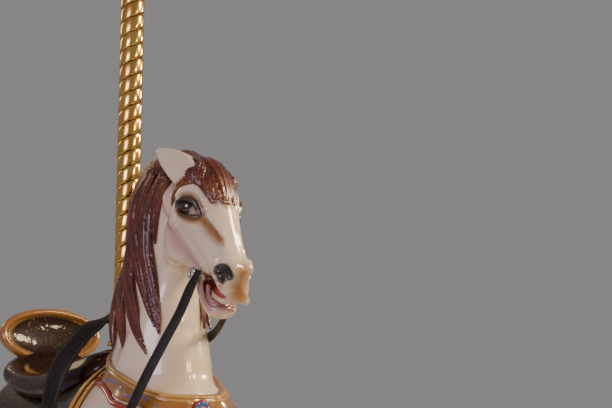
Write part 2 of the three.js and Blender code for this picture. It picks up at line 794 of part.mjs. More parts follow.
// The right rein hangs slack past the chest, and the left one runs back along the neck. Both end on the strap.
const RIGHT_REIN = [
  [440, -52, 1311, 0.4, -0.9, 0, 12],
  [427, -76, 1260, 0.45, -0.88, 0, 12],
  [409, -100, 1203, 0.5, -0.85, 0, 12],
  [380, -132, 1120, 0.5, -0.85, 0, 12],
  [349, -156, 1042, 0.4, -0.9, 0, 12],
  [300, -178, 960, 0.3, -0.95, 0, 12],
  [232, -193, 897, 0.15, -1, 0, 12],
  [150, -203, 872, 0.05, -1, 0, 12],
  [78, -209, 896, 0, -1, 0, 12],
  [34, -211, 946, 0, -1, 0, 12],
  [8, -211, 1006, 0, -1, 0.05, 12],
];
const LEFT_REIN = [
  [440, 52, 1311, 0.4, 0.9, 0, 12],
  [438, 53, 1301, 0.4, 0.9, 0, 12],
  [405, 62, 1276, 0.3, 0.95, 0, 12],
  [360, 76, 1254, 0.3, 0.95, 0, 12],
  [300, 97, 1237, 0.3, 0.95, 0, 12],
  [230, 122, 1226, 0.2, 0.95, 0.1, 12],
  [150, 140, 1216, 0, 0.95, 0.3, 12],
  [76, 141, 1214, 0, 0.85, 0.5, 12],
  [6, 134.2, 1219.6, 0, 0.75, 0.66, 12],
];

const mirrorStrap = (rows) => rows.map(([x, y, z, nx, ny, nz, half]) => [x, -y, z, nx, -ny, nz, half]);

function collarShell(thick) {
  const outer = profileBody(TORSO, { grow: thick }).add(profileBody(NECK, { grow: thick }));
  return outer.subtract(barrelFit);
}

// The saddle's cloth, seat and flaps a little enlarged, for whatever lies over them.
function saddleFit() {
  const cloth = slab(CLOTH_OUTLINE, -FAR_SIDE, FAR_SIDE).intersect(clothFit);
  const flap = profileBody(TORSO, { grow: 3 * SEAT_GAP + CLOTH_THICK + FLAP_THICK });
  const flaps = flap.intersect(
    slab(FLAP_OUTLINE, ...flankSpan(RIGHT)).add(slab(FLAP_OUTLINE, ...flankSpan(LEFT))),
  );
  return cloth.add(profileBody(SEAT, { sides: 20, grow: SEAT_GAP })).add(flaps);
}

function girth(grow) {
  const { from, to, top, thick } = GIRTH;
  const outline = [[from - grow, FAR_BELOW], [to + grow, FAR_BELOW], [to + grow, top], [from - grow, top]];
  return profileBody(TORSO, { grow: SEAT_GAP + thick + grow }).intersect(slab(outline, -FAR_SIDE, FAR_SIDE));
}

function rosette(collarFit) {
  const disc = new THREE.CylinderGeometry(ROSETTE.radius, ROSETTE.radius, ROSETTE.face - ROSETTE.tail, 20);
  disc.rotateZ(Math.PI / 2);
  disc.translate((ROSETTE.face + ROSETTE.tail) / 2, 0, ROSETTE.z);
  return toSolid(disc).subtract(collarFit);
}

function stirrupLeather(side, under) {
  const { x, strapHalf, strapThick, strapTop, hang, top } = STIRRUP;
  const [from, to] = [x - strapHalf, x + strapHalf];
  const flapOuter = 3 * SEAT_GAP + CLOTH_THICK + FLAP_THICK;
  const face = profileBody(TORSO, { grow: flapOuter });
  const wrap = profileBody(TORSO, { grow: flapOuter + strapThick }).subtract(face);
  const reach = skinReach(x, hang) + flapOuter - SEAT_GAP;
  const upper = slab([[from, hang], [to, hang], [to, strapTop], [from, strapTop]], ...flankSpan(side));
  const dropTop = hang + strapThick;
  const drop = new THREE.BoxGeometry(to - from, strapThick, dropTop - top);
  drop.translate(x, side * (reach + strapThick / 2), (dropTop + top) / 2);
  return wrap.intersect(upper).add(toSolid(drop)).subtract(under);
}

function stirrupIron(side) {
  const { x, top, half, wall, footplate, tread, from, to } = STIRRUP;
  const arch = (reach, low) => {
    const path = new THREE.Path();
    path.moveTo(-reach, low);
    path.lineTo(reach, low);
    path.lineTo(reach, tread);
    path.absarc(0, tread, reach, 0, Math.PI);
    return path.getPoints(8);
  };
  const shape = new THREE.Shape(arch(half, 0));
  shape.holes.push(new THREE.Path(arch(half - wall, footplate)));
  const geometry = new THREE.ExtrudeGeometry(shape, { depth: to - from, bevelEnabled: false });
  geometry.rotateX(Math.PI / 2);
  geometry.translate(x, side > 0 ? to : -from, top - SEAT_GAP - half - tread);
  return toSolid(geometry);
}

function buildHarness() {
  const saddle = saddleFit();
  const clear = saddle.add(cylinder(POLE.ferrule + SEAT_GAP, FAR_BELOW, FAR_ABOVE, 24));
  const collar = slab([...COLLAR_TOP, ...COLLAR_LOW], -FAR_SIDE, FAR_SIDE);
  place("breast_collar", largest(collarShell(COLLAR_THICK).intersect(collar).subtract(clear)), "ochre");
  const lowEdge = COLLAR_LOW.map(([x, z]) => [x, z - SEAT_GAP]);
  const borderLow = lowEdge.map(([x, z]) => [x, z - BORDER_WIDTH]);
  const border = slab([...lowEdge].reverse().concat(borderLow), -FAR_SIDE, FAR_SIDE);
  place("collar_border", largest(collarShell(BORDER_THICK).intersect(border).subtract(clear)), "red");
  const collarFit = collarShell(COLLAR_THICK + SEAT_GAP).intersect(collar).add(barrelFit);
  place("rosette", rosette(collarFit), "red");

  const legs = Object.values(LEGS).reduce((sum, rows) => sum.add(limb(rows, { grow: SEAT_GAP })), torsoFit);
  const cinch = girth(0).subtract(legs).subtract(saddle);
  place("girth", largest(cinch), "leather");
  const under = saddle.add(girth(SEAT_GAP)).add(barrelFit);
  const wide = strap([...mirrorStrap(POLE_STRAP.slice(1)).reverse(), ...POLE_STRAP], STRAP_THICK);
  place("pole_strap", wide.subtract(under), "leather");
  const grown = (rows) => rows.map(([x, y, z, nx, ny, nz, half]) => [x, y, z, nx, ny, nz, half + SEAT_GAP]);
  const wideFit = strap(
    [...mirrorStrap(grown(POLE_STRAP.slice(1))).reverse(), ...grown(POLE_STRAP)],
    STRAP_THICK + 2 * SEAT_GAP,
  );
  place("rein_right", largest(strap(RIGHT_REIN, REIN_THICK).subtract(wideFit)), "leather");
  place("rein_left", largest(strap(LEFT_REIN, REIN_THICK).subtract(wideFit)), "leather");
  for (const [word, side] of [["right", RIGHT], ["left", LEFT]]) {
    place(`stirrup_leather_${word}`, stirrupLeather(side, saddle), "leather");
    place(`stirrup_${word}`, stirrupIron(side), "steel");
  }
}

buildPole();
place("body", profileBody(TORSO).subtract(cylinder(poleRadius + SEAT_GAP, FAR_BELOW, FAR_ABOVE, 24)), "cream");
place("neck", profileBody(NECK).subtract(torsoFit).subtract(headFit), "cream");
buildHead();
buildLegs();
buildSaddle();
buildHarness();

export default horse;
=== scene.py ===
import math
from functools import partial

import bmesh
import bpy
import numpy as np
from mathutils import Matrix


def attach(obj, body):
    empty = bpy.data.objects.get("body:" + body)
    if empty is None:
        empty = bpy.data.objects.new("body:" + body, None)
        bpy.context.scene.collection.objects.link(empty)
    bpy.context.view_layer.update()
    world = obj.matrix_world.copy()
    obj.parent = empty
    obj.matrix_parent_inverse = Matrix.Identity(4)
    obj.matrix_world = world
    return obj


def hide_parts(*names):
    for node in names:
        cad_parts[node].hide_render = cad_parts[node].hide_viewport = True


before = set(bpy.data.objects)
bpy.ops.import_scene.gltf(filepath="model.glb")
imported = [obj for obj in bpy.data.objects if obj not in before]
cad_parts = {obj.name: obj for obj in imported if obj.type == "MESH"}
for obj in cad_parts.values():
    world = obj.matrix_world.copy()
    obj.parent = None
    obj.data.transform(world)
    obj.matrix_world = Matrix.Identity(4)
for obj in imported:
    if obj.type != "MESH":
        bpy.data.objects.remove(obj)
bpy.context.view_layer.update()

import openvdb
from mathutils import Vector

# A carousel horse on its pole. Places and sizes here are millimetres in the part's own frame: +X is the way
# the horse faces, +Y its left side and +Z up. Meshes are turned into metres when they are made.
MM = 0.001


# Camera

CAMERA_AT = (2769.1, -1338.2, 1088.1)
CAMERA_AIM = (-0.8149, 0.5580, 0.1564)
LENS_MM = 70.0


def make_camera():
    data = bpy.data.cameras.new("camera")
    data.lens = LENS_MM
    data.sensor_width = 36.0
    data.clip_end = 50.0
    camera = bpy.data.objects.new("camera", data)
    camera.location = Vector(CAMERA_AT) * MM
    camera.rotation_euler = Vector(CAMERA_AIM).to_track_quat("-Z", "Y").to_euler()
    bpy.context.scene.collection.objects.link(camera)
    bpy.context.scene.camera = camera


# Distance fields

FAR = 60.0


def bspline(t):
    """Weights of the four nearest grid values at a share t between the middle two."""
    return [(1 - t) ** 3 / 6, (3 * t**3 - 6 * t**2 + 4) / 6, (-3 * t**3 + 3 * t**2 + 3 * t + 1) / 6, t**3 / 6]


class Field:
    """Distances to a surface, negative inside it, on the nodes of a cubic grid."""

    def __init__(self, low, high, step):
        self.step = step
        self.first = np.floor(np.array(low) / step).astype(int)
        last = np.ceil(np.array(high) / step).astype(int)
        self.values = np.full(last - self.first + 1, FAR, np.float32)

    def sample(self, points):
        """The field at any points, with smooth slopes between the nodes."""
        place = points / self.step - self.first
        base = np.clip(np.floor(place).astype(int), 1, np.array(self.values.shape) - 3)
        share = np.clip(place - base, 0, 1)
        wx, wy, wz = (bspline(share[:, k]) for k in range(3))
        flat = self.values.ravel()
        _, ny, nz = self.values.shape
        out = np.zeros(len(points))
        for i in range(4):
            for j in range(4):
                row = ((base[:, 0] + i - 1) * ny + base[:, 1] + j - 1) * nz + base[:, 2]
                out += wx[i] * wy[j] * sum(wz[k] * flat[row + k - 1] for k in range(4))
        return out

    def places(self):
        """The nodes' places, one row each."""
        return (np.indices(self.values.shape).reshape(3, -1).T + self.first) * float(self.step)

    def fill(self, values):
        """Takes one value for each of the places."""
        self.values = np.asarray(values).reshape(self.values.shape).astype(np.float32)

    def surface(self):
        """The zero surface as points and triangles."""
        grid = openvdb.FloatGrid(FAR)
        grid.copyFromArray(self.values, ijk=tuple(int(v) for v in self.first))
        grid.transform = openvdb.createLinearTransform(self.step)
        points, quads = grid.convertToQuads(0.0)
        quads = quads.astype(int)
        return points.astype(float), np.concatenate([quads[:, [0, 1, 2]], quads[:, [0, 2, 3]]])


def cad_mesh(name):
    """Points in millimetres and triangles of a CAD node."""
    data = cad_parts[name].data
    data.calc_loop_triangles()
    points = np.empty(len(data.vertices) * 3, np.float32)
    data.vertices.foreach_get("co", points)
    triangles = np.empty(len(data.loop_triangles) * 3, np.int32)
    data.loop_triangles.foreach_get("vertices", triangles)
    return points.reshape(-1, 3) / np.float32(MM), triangles.reshape(-1, 3).astype(np.uint32)


def blur(values, sigma):
    """Gaussian blur, sigma in grid steps. It takes the facets out of a coarse solid."""
    reach = int(math.ceil(2.5 * sigma))
    kernel = np.exp(-0.5 * (np.arange(-reach, reach + 1) / sigma) ** 2)
    kernel = (kernel / kernel.sum()).astype(np.float32)
    for axis in range(3):
        padded = np.pad(values, [(reach, reach) if k == axis else (0, 0) for k in range(3)], mode="edge")
        size = values.shape[axis]
        total = np.zeros_like(values)
        for i, weight in enumerate(kernel):
            cut = [slice(None)] * 3
            cut[axis] = slice(i, i + size)
            total += weight * padded[tuple(cut)]
        values = total
    return values


def soft_min(a, b, width):
    """The nearer of two distances, blended where they differ by less than width."""
    near = np.maximum(width - np.abs(a - b), 0) / width
    return np.minimum(a, b) - near * near * width / 4


def soft_max(a, b, width):
    return -soft_min(-a, -b, width)


def ease(share):
    """A share from 0 to 1, eased at both ends."""
    return share * share * (3 - 2 * share)


def node_values(field, name, soften=0.0):
    """Distances to a CAD node on a field's grid, softened by a blur of that many millimetres."""
    points, triangles = cad_mesh(name)
    cells = openvdb.createLinearTransform(field.step)
    grid = openvdb.FloatGrid.createLevelSetFromPolygons(
        points, triangles=triangles, transform=cells, halfWidth=FAR / field.step
    )
    values = np.full(field.values.shape, FAR, np.float32)
    grid.copyToArray(values, ijk=tuple(int(v) for v in field.first))
    return blur(values, soften / field.step) if soften else values


def slope(function, points, reach=0.5):
    """Value and gradient of a distance function."""
    here = function(points)
    steps = np.eye(3) * reach
    gradient = np.stack([(function(points + s) - here) / reach for s in steps], -1)
    return here, gradient


def project(function, points, rounds=4, most=4.0):
    """Moves points along the slope onto the surface where function is zero."""
    for turn in range(rounds):
        if turn % 2 == 0:
            value, gradient = slope(function, points)
            size = np.maximum((gradient**2).sum(1), 0.1)
        else:
            value = function(points)
        move = np.clip(value / size, -most, most)
        points = points - move[:, None] * gradient
    return points


def outward(function, points):
    """Unit normals of a distance function."""
    gradient = slope(function, points)[1]
    return gradient / np.maximum(np.linalg.norm(gradient, axis=1, keepdims=True), 1e-6)


# Curves

def smooth(rows, steps):
    """Rows of numbers with a Catmull-Rom spline through each column, steps to a span."""
    rows = np.array(rows, float)
    padded = np.concatenate([2 * rows[:1] - rows[1:2], rows, 2 * rows[-1:] - rows[-2:-1]])
    t = np.arange(steps)[:, None] / steps
    spans = []
    for i in range(len(rows) - 1):
        a, b, c, d = padded[i : i + 4]
        square, cube = 2 * a - 5 * b + 4 * c - d, 3 * b - a - 3 * c + d
        spans.append(0.5 * (2 * b + (c - a) * t + square * t**2 + cube * t**3))
    return np.concatenate(spans + [rows[-1:]])


def even(rows, count):
    """A smooth curve through the rows at evenly spaced lengths. The first three columns are the place."""
    fine = smooth(rows, 12)
    run = np.concatenate([[0], np.cumsum(np.linalg.norm(np.diff(fine[:, :3], axis=0), axis=1))])
    wanted = np.linspace(0, run[-1], count)
    return np.stack([np.interp(wanted, run, fine[:, k]) for k in range(fine.shape[1])], -1)


def in_box(points, places, grow):
    """Numbers of the points in the box round some places, grown on every side."""
    low, high = places.min(0) - grow, places.max(0) + grow
    inside = (points[:, 0] > low[0]) & (points[:, 0] < high[0])
    for k in (1, 2):
        inside &= (points[:, k] > low[k]) & (points[:, k] < high[k])
    return np.nonzero(inside)[0]


class Chain:
    """A smooth line whose rows are [x, y, z, radius]. It measures how far points are from it."""

    def __init__(self, rows):
        self.rows = smooth(rows, 4)

    def measure(self, points):
        """Distance to the axis and the radius at the nearest place, for each point."""
        best = np.full(len(points), 1e9)
        radius = np.zeros(len(points))
        squares = np.einsum("ij,ij->i", points, points)
        for a, b in zip(self.rows[:-1], self.rows[1:]):
            along = b[:3] - a[:3]
            length = max(along @ along, 1e-9)
            run = points @ along - a[:3] @ along
            share = np.clip(run / length, 0, 1)
            apart = squares - 2 * (points @ a[:3]) + a[:3] @ a[:3]
            gap = np.sqrt(np.maximum(apart - 2 * share * run + share * share * length, 0))
            r = a[3] + share * (b[3] - a[3])
            closer = gap - r < best - radius
            np.copyto(best, gap, where=closer)
            np.copyto(radius, r, where=closer)
        return best, radius


def mirrored(points):
    """The same points on the side where y is not negative."""
    return points * [1, 0, 1] + np.abs(points) * [0, 1, 0]


# Features carved on a skin. Each is given for y above zero and is on both sides of the horse.

def swell(center, radii, height, lean=0.0):
    """A soft bulge, or a hollow if height is negative, leaning by an angle in the side view."""
    cos, sin = math.cos(lean), math.sin(lean)

    def apply(points, values):
        d = points - center
        turned = np.stack([d[:, 0] * cos - d[:, 2] * sin, d[:, 1], d[:, 0] * sin + d[:, 2] * cos], -1)
        return values - height * np.exp(-((turned / radii) ** 2).sum(1))

    return apply


def line_feature(rows, margin, times, change, squeeze=1):
    """A feature near a line only: change gives new values from the old ones, the distances and the radii.
    It works as far out as a margin and some times the radius. squeeze makes it narrower along an axis."""
    squeeze = np.ones(3) * squeeze
    chain = Chain(np.array(rows, float) * [*squeeze, 1])

    def apply(points, values):
        points = points * squeeze
        pick = in_box(points, chain.rows[:, :3], margin + times * chain.rows[:, 3].max())
        values = values.copy()
        values[pick] = change(values[pick], *chain.measure(points[pick]))
        return values

    return apply


def ridge(rows, height):
    """A soft raised line, or a groove if height is negative. A row's last number is half its width."""
    def raised(values, gap, radius):
        return values - height * np.exp(-((gap / radius) ** 2))

    return line_feature(rows, 0, 2.6, raised)


def bead(rows, blend):
    """A round bar joined to the skin."""
    def joined(values, gap, radius):
        return soft_min(values, gap - radius, blend)

    return line_feature(rows, blend + 3, 1, joined)


def hollow(rows, blend, squeeze=1):
    """A round channel cut into the skin."""
    def cut(values, gap, radius):
        return soft_max(values, radius - gap, blend)

    return line_feature(rows, blend + 3, 1, cut, squeeze)


def ball_hollow(center, radius, blend):
    def apply(points, values):
        return soft_max(values, radius - np.linalg.norm(points - center, axis=1), blend)

    return apply


class Skin:
    """A softened field with features carved on it, as one distance function."""

    def __init__(self, field, features, own=()):
        self.field = field
        self.features = features
        self.own = own

    def carve(self, points, values):
        side = mirrored(points)
        values = values.astype(float)
        for feature in self.features:
            values = feature(side, values)
        for feature in self.own:
            values = feature(points, values)
        return values

    def __call__(self, points):
        return self.carve(points, self.field.sample(points))


# Meshes

def as_groups(faces):
    """Faces as a list of arrays, one for each number of corners."""
    return faces if isinstance(faces, list) else [faces]


def make_mesh(name, points, faces, masks=None, flat=False, normals=None):
    """A new object from points in millimetres and an array, or list of arrays, of faces."""
    groups = as_groups(faces)
    data = bpy.data.meshes.new(name)
    data.vertices.add(len(points))
    data.vertices.foreach_set("co", (np.asarray(points) * MM).astype(np.float32).ravel())
    corners = np.concatenate([g.ravel() for g in groups]).astype(np.int32)
    sizes = np.concatenate([np.full(len(g), g.shape[1]) for g in groups])
    data.loops.add(len(corners))
    data.loops.foreach_set("vertex_index", corners)
    data.polygons.add(len(sizes))
    starts = np.concatenate([[0], np.cumsum(sizes)[:-1]]).astype(np.int32)
    data.polygons.foreach_set("loop_start", starts)
    data.update(calc_edges=True)
    for key, values in (masks or {}).items():
        mask = data.attributes.new(key, "FLOAT", "POINT")
        mask.data.foreach_set("value", np.asarray(values, np.float32).ravel())
    data.validate()
    data.shade_flat() if flat else data.shade_smooth()
    if normals is not None:
        data.normals_split_custom_set_from_vertices(normals.astype(np.float32))
    piece = bpy.data.objects.new(name, data)
    bpy.context.scene.collection.objects.link(piece)
    return piece


def refine(points, triangles, chosen):
    """Splits the chosen triangles in four, and their neighbours so that no gap opens."""
    edges = np.sort(np.stack([triangles[:, [0, 1]], triangles[:, [1, 2]], triangles[:, [2, 0]]], 1), -1)
    keys = edges[..., 0] * len(points) + edges[..., 1]
    split = np.unique(keys[chosen])
    marked = np.isin(keys, split)
    number = np.searchsorted(split, keys) + len(points)
    ends = np.stack([split // len(points), split % len(points)], -1)
    points = np.concatenate([points, points[ends].mean(1)])
    out = [triangles[marked.sum(1) == 0]]
    for turn in range(3):
        a, b, c = (triangles[:, (turn + k) % 3] for k in range(3))
        ab, bc, ca = (number[:, (turn + k) % 3] for k in range(3))
        m0, m1, m2 = (marked[:, (turn + k) % 3] for k in range(3))
        one = m0 & ~m1 & ~m2
        out += [np.stack([a, ab, c], -1)[one], np.stack([ab, b, c], -1)[one]]
        two = m0 & m1 & ~m2
        out += [np.stack([a, ab, bc], -1)[two], np.stack([ab, b, bc], -1)[two], np.stack([a, bc, c], -1)[two]]
        full = m0 & m1 & m2
        out += [np.stack([a, ab, ca], -1)[full]]
        if turn == 0:
            out += [np.stack([ab, bc, ca], -1)[full]]
    return points, np.concatenate(out)


def grid_faces(rows, columns, wrap=False):
    """Quads over a sheet of points with that many rows and columns, wrapped round the columns or open."""
    r = np.arange(rows - 1)[:, None]
    c = np.arange(columns if wrap else columns - 1)[None, :]
    after = (c + 1) % columns
    quads = [r * columns + c, r * columns + after, (r + 1) * columns + after, (r + 1) * columns + c]
    return np.stack([q + 0 * (r + c) for q in quads], -1).reshape(-1, 4)


def ring_faces(rings, corners):
    """Quads over a tube that closes on itself, so that its last ring meets the first."""
    return grid_faces(rings + 1, corners, True) % (rings * corners)


def turned_out(points, faces, core=None):
    """The faces turned so that they look away from a core point."""
    groups = as_groups(faces)
    core = points.mean(0) if core is None else core
    total = 0
    for group in groups:
        for k in range(1, group.shape[1] - 1):
            a, b, c = (points[group[:, i]] for i in (0, k, k + 1))
            total += (np.cross(b - a, c - a) * ((a + b + c) / 3 - core)).sum()
    return groups if total > 0 else [group[:, ::-1] for group in groups]


def join(parts):
    """Joins (points, faces) pairs into one, each turned right side out."""
    points, by_size, count = [], {}, 0
    for some, faces in parts:
        points.append(some)
        for group in turned_out(some, faces):
            by_size.setdefault(group.shape[1], []).append(group + count)
        count += len(some)
    return np.concatenate(points), [np.concatenate(v) for v in by_size.values()]


def finish_piece(name, points, faces, paint, slot, replaced=(), body="horse", core=None, **details):
    """A mesh turned right side out, with its paint, riding on a body in place of CAD nodes."""
    made = make_mesh(name, points, turned_out(points, faces, core), **details)
    made.data.materials.append(paint)
    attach(made, body)
    if replaced:
        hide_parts(*replaced)
    return made


def frames(centers, up):
    """Along, across and out directions at each point of a line. up is the outward direction wanted there."""
    along = np.gradient(centers, axis=0)
    along /= np.maximum(np.linalg.norm(along, axis=1, keepdims=True), 1e-9)
    out = up - (up * along).sum(1, keepdims=True) * along
    out /= np.maximum(np.linalg.norm(out, axis=1, keepdims=True), 1e-9)
    return along, np.cross(along, out), out


def loft(rings):
    """A closed tube through rings of points, shaped (rings, corners, 3), with a fan at each end."""
    count, corners = rings.shape[:2]
    points = np.concatenate([rings.reshape(-1, 3), rings[:1].mean(1), rings[-1:].mean(1)])
    c = np.arange(corners)
    after = (c + 1) % corners
    low = np.stack([after, c, np.full(corners, count * corners)], -1)
    top = (count - 1) * corners
    high = np.stack([top + c, top + after, np.full(corners, count * corners + 1)], -1)
    return points, [grid_faces(count, corners, True), np.concatenate([low, high])]


def lathe(profile, columns=64, axis=(0, 0, 1), center=(0, 0, 0), ring=False):
    """Turns a profile of [radius, height] rows about an axis. A ring's profile is closed on itself."""
    profile = np.array(profile, float)
    turn = np.arange(columns) * 2 * math.pi / columns
    circle = np.stack([np.cos(turn), np.sin(turn), 0 * turn], -1)
    rings = profile[:, None, :1] * circle[None] + profile[:, None, 1:] * np.array([0, 0, 1.0])
    turned = np.array(Vector((0, 0, 1)).rotation_difference(Vector(axis)).to_matrix())
    rings = rings @ turned.T + center
    return (rings.reshape(-1, 3), ring_faces(len(rings), columns)) if ring else loft(rings)


def round_corners(profile, radius, steps=4):
    """Rounds the corners of an open profile of [a, b] rows."""
    profile = np.array(profile, float)
    out = [profile[0]]
    for before, here, after in zip(profile[:-2], profile[1:-1], profile[2:]):
        back, on = before - here, after - here
        reach = min(radius, np.linalg.norm(back) / 2, np.linalg.norm(on) / 2)
        a = here + back / np.linalg.norm(back) * reach
        b = here + on / np.linalg.norm(on) * reach
        for t in np.linspace(0, 1, steps + 1):
            out.append((1 - t) ** 2 * a + 2 * t * (1 - t) * here + t * t * b)
    return np.array(out + [profile[-1]])


# Materials

def new_material(name):
    made = bpy.data.materials.new(name)
    made.use_nodes = True
    tree = made.node_tree
    return made, tree, tree.nodes["Principled BSDF"]


def feed(tree, socket, value):
    """Links a socket to another node's output, or sets its constant. A colour has three numbers."""
    if isinstance(value, bpy.types.NodeSocket):
        tree.links.new(value, socket)
    else:
        socket.default_value = (*value, 1.0) if isinstance(value, tuple) else value


def node(tree, kind, inputs=None, **settings):
    made = tree.nodes.new(kind)
    for key, value in settings.items():
        setattr(made, key, value)
    for key, value in (inputs or {}).items():
        feed(tree, made.inputs[key], value)
    return made


def object_place(tree):
    return node(tree, "ShaderNodeTexCoord").outputs["Object"]


def noise(tree, scale, detail=3.0, rough=0.5):
    inputs = {"Vector": object_place(tree), "Scale": scale, "Detail": detail, "Roughness": rough}
    return node(tree, "ShaderNodeTexNoise", inputs).outputs["Fac"]


def remap(tree, value, low, high, to_low=0.0, to_high=1.0):
    inputs = {"Value": value, "From Min": low, "From Max": high, "To Min": to_low, "To Max": to_high}
    return node(tree, "ShaderNodeMapRange", inputs).outputs["Result"]


def math_node(tree, operation, *values):
    made = node(tree, "ShaderNodeMath", operation=operation)
    for socket, value in zip(made.inputs, values):
        feed(tree, socket, value)
    return made.outputs[0]


def attribute(tree, name):
    return node(tree, "ShaderNodeAttribute", attribute_name=name).outputs["Fac"]


def layered(tree, colour, *layers):
    """Colours laid over one another, each given as (how much of it, colour)."""
    for share, over in layers:
        made = node(tree, "ShaderNodeMix", data_type="RGBA")
        sockets = {socket.identifier: socket for socket in made.inputs}
        for key, value in (("Factor_Float", share), ("A_Color", colour), ("B_Color", over)):
            feed(tree, sockets[key], value)
        colour = next(socket for socket in made.outputs if socket.identifier == "Result_Color")
    return colour


def dimmed(colour, share):
    return tuple(share * c for c in colour)


def specks(tree, scale, detail, low, high, strength):
    """How much of a colour to dab on in small flecks."""
    return math_node(tree, "MULTIPLY", remap(tree, noise(tree, scale, detail, 0.6), low, high), strength)


def bump(tree, shader, height, distance, strength=1.0, coat=False):
    made = node(tree, "ShaderNodeBump", {"Height": height, "Distance": distance, "Strength": strength})
    for key in ("Normal", "Coat Normal") if coat else ("Normal",):
        tree.links.new(made.outputs["Normal"], shader.inputs[key])


def gloss(tree, shader, colour, roughness, coat=0.0, coat_roughness=0.04, metallic=0.0, specular=0.5):
    inputs = {
        "Base Color": colour, "Roughness": roughness, "Metallic": metallic, "Coat Weight": coat,
        "Coat Roughness": coat_roughness, "Specular IOR Level": specular,
    }
    for key, value in inputs.items():
        feed(tree, shader.inputs[key], value)


CREAM = (0.82, 0.66, 0.47)
CREAM_WARM = (0.74, 0.50, 0.27)
OCHRE_SHADE = (0.30, 0.125, 0.018)
LID_BLACK_AND_SHADOW = (0.012, 0.006, 0.004)
GUM_RED = (0.23, 0.028, 0.028)
MAUVE_LIPS_SHADE_HIGHLIGHT = (0.42, 0.17, 0.18)
HAIR_RED = (0.14, 0.010, 0.0025)
HAIR_HIGHLIGHT_GOLD = (0.30, 0.09, 0.010)


def skin_paint():
    """Glossy cream enamel with airbrushed shading, painted shade and painted highlights from the mesh's
    masks.
    """
    made, tree, shader = new_material("cream_enamel")
    edge = math_node(
        tree, "ADD", attribute(tree, "ochre"), remap(tree, noise(tree, 55.0), 0.3, 0.7, -0.08, 0.08)
    )
    streak = math_node(
        tree, "ADD", attribute(tree, "hair"), remap(tree, noise(tree, 90.0), 0.3, 0.7, -0.1, 0.1)
    )
    colour = layered(
        tree, CREAM,
        (remap(tree, noise(tree, 3.2, 4.0), 0.35, 0.7), dimmed(CREAM, 0.93)),
        # Warm: a darker, warmer cream, which under the belly and between the legs is painted shade.
        (attribute(tree, "warm"), CREAM_WARM),
        (specks(tree, 260.0, 2.0, 0.68, 0.76, 0.35), (0.62, 0.47, 0.33)),
        # Ochre: airbrushed paint, and painted shade in the creases of the head and body.
        (remap(tree, edge, 0.05, 0.95), OCHRE_SHADE),
        (remap(tree, streak, 0.08, 0.92), HAIR_RED),
        # Mauve: lip paint, painted shade behind the cheek's crest, painted pink highlights on it and below
        # the ear.
        (attribute(tree, "mauve"), MAUVE_LIPS_SHADE_HIGHLIGHT),
        (attribute(tree, "gum"), GUM_RED),
        # Dark: black lids and nostrils, and a painted shadow ring round the eyeball.
        (attribute(tree, "dark"), LID_BLACK_AND_SHADOW),
    )
    gloss(tree, shader, colour, 0.28, coat=0.9, coat_roughness=0.05)
    bump(tree, shader, noise(tree, 75.0, 2.0), 0.0006, 0.35, coat=True)
    return made


# Horse's skin

# The seam between the two pieces of the skin runs under the collar and the saddle cloth.
SEAM = {"x": 100, "z": 1147, "fall": 0.33}
POLE_RADIUS = 31.5
BORE_MIDDLE_Z = 945
BORE_HALF = 190
SPIGOT_HOLE = 22


def above_seam(points):
    return points[:, 2] - SEAM["z"] + SEAM["fall"] * (points[:, 0] - SEAM["x"])


def trunk_values(field):
    """Distances to the body and neck, with the pole's bore closed, which the pole and its rings hide."""
    points = field.places()
    wall = np.hypot(points[:, 0], points[:, 1]) - POLE_RADIUS - 8
    ends = np.abs(points[:, 2] - BORE_MIDDLE_Z) - BORE_HALF
    plug = np.maximum(wall, ends).reshape(field.values.shape).astype(np.float32)
    return np.minimum(np.minimum(node_values(field, "body"), plug), node_values(field, "neck"))


def clear_of_spigot(points):
    """Outside the round hole, hidden in the pole's sleeve, that the spigot comes up through."""
    return np.hypot(points[:, 0], points[:, 1]) > SPIGOT_HOLE


def side_point(field, x, z, lift=0.0):
    """The place on the horse's left flank that has that x and z in the side view."""
    y = np.arange(0.0, 230.0, 1.0)
    values = field.sample(np.stack([np.full(len(y), x), y, np.full(len(y), z)], -1))
    inside = np.nonzero(values < 0)[0]
    if not len(inside):
        return [x, lift, z]
    k = min(inside[-1], len(y) - 2)
    share = values[k] / min(values[k] - values[k + 1], -1e-6)
    return [x, y[k] + np.clip(share, 0, 1) + lift, z]


def on_flank(field, rows):
    """Rows [x, z, lift, radius] as [x, y, z, radius] on the left flank."""
    return [side_point(field, x, z, lift) + [radius] for x, z, lift, radius in rows]


def head_field():
    """The softened solids of the head, sharper in front than on the neck, with the ears joined on."""
    field = Field((-40, -150, 1000), (610, 150, 1680), 3.0)
    whole = np.minimum(trunk_values(field), node_values(field, "head"))
    wide, face = blur(whole, 13 / field.step), blur(whole, 6 / field.step)
    forward, _, height = ((np.arange(n) + k) * field.step for n, k in zip(field.values.shape, field.first))
    front = ease(np.clip((height[None, :] + 0.9 * forward[:, None] - 1640) / 160, 0, 1))
    front = front[:, None, :].astype(np.float32)
    values = soft_min(wide + front * (face - wide), node_values(field, "lower_jaw", 4), 7)
    field.values = values.astype(np.float32)
    low, high = ((np.array(corner) / field.step).astype(int) - field.first for corner in EAR_BOX)
    box = tuple(slice(a, b) for a, b in zip(low, high))
    index = np.stack(np.meshgrid(*(np.arange(a, b) for a, b in zip(low, high)), indexing="ij"), -1)
    places = (index.reshape(-1, 3) + field.first) * field.step
    near = field.values[box]
    leaf = ear_leaf(mirrored(places) + (places[:, 1:2] > 0) * EAR_LAID_BACK)
    field.values[box] = soft_min(near, leaf.reshape(near.shape).astype(np.float32), 14)
    return field


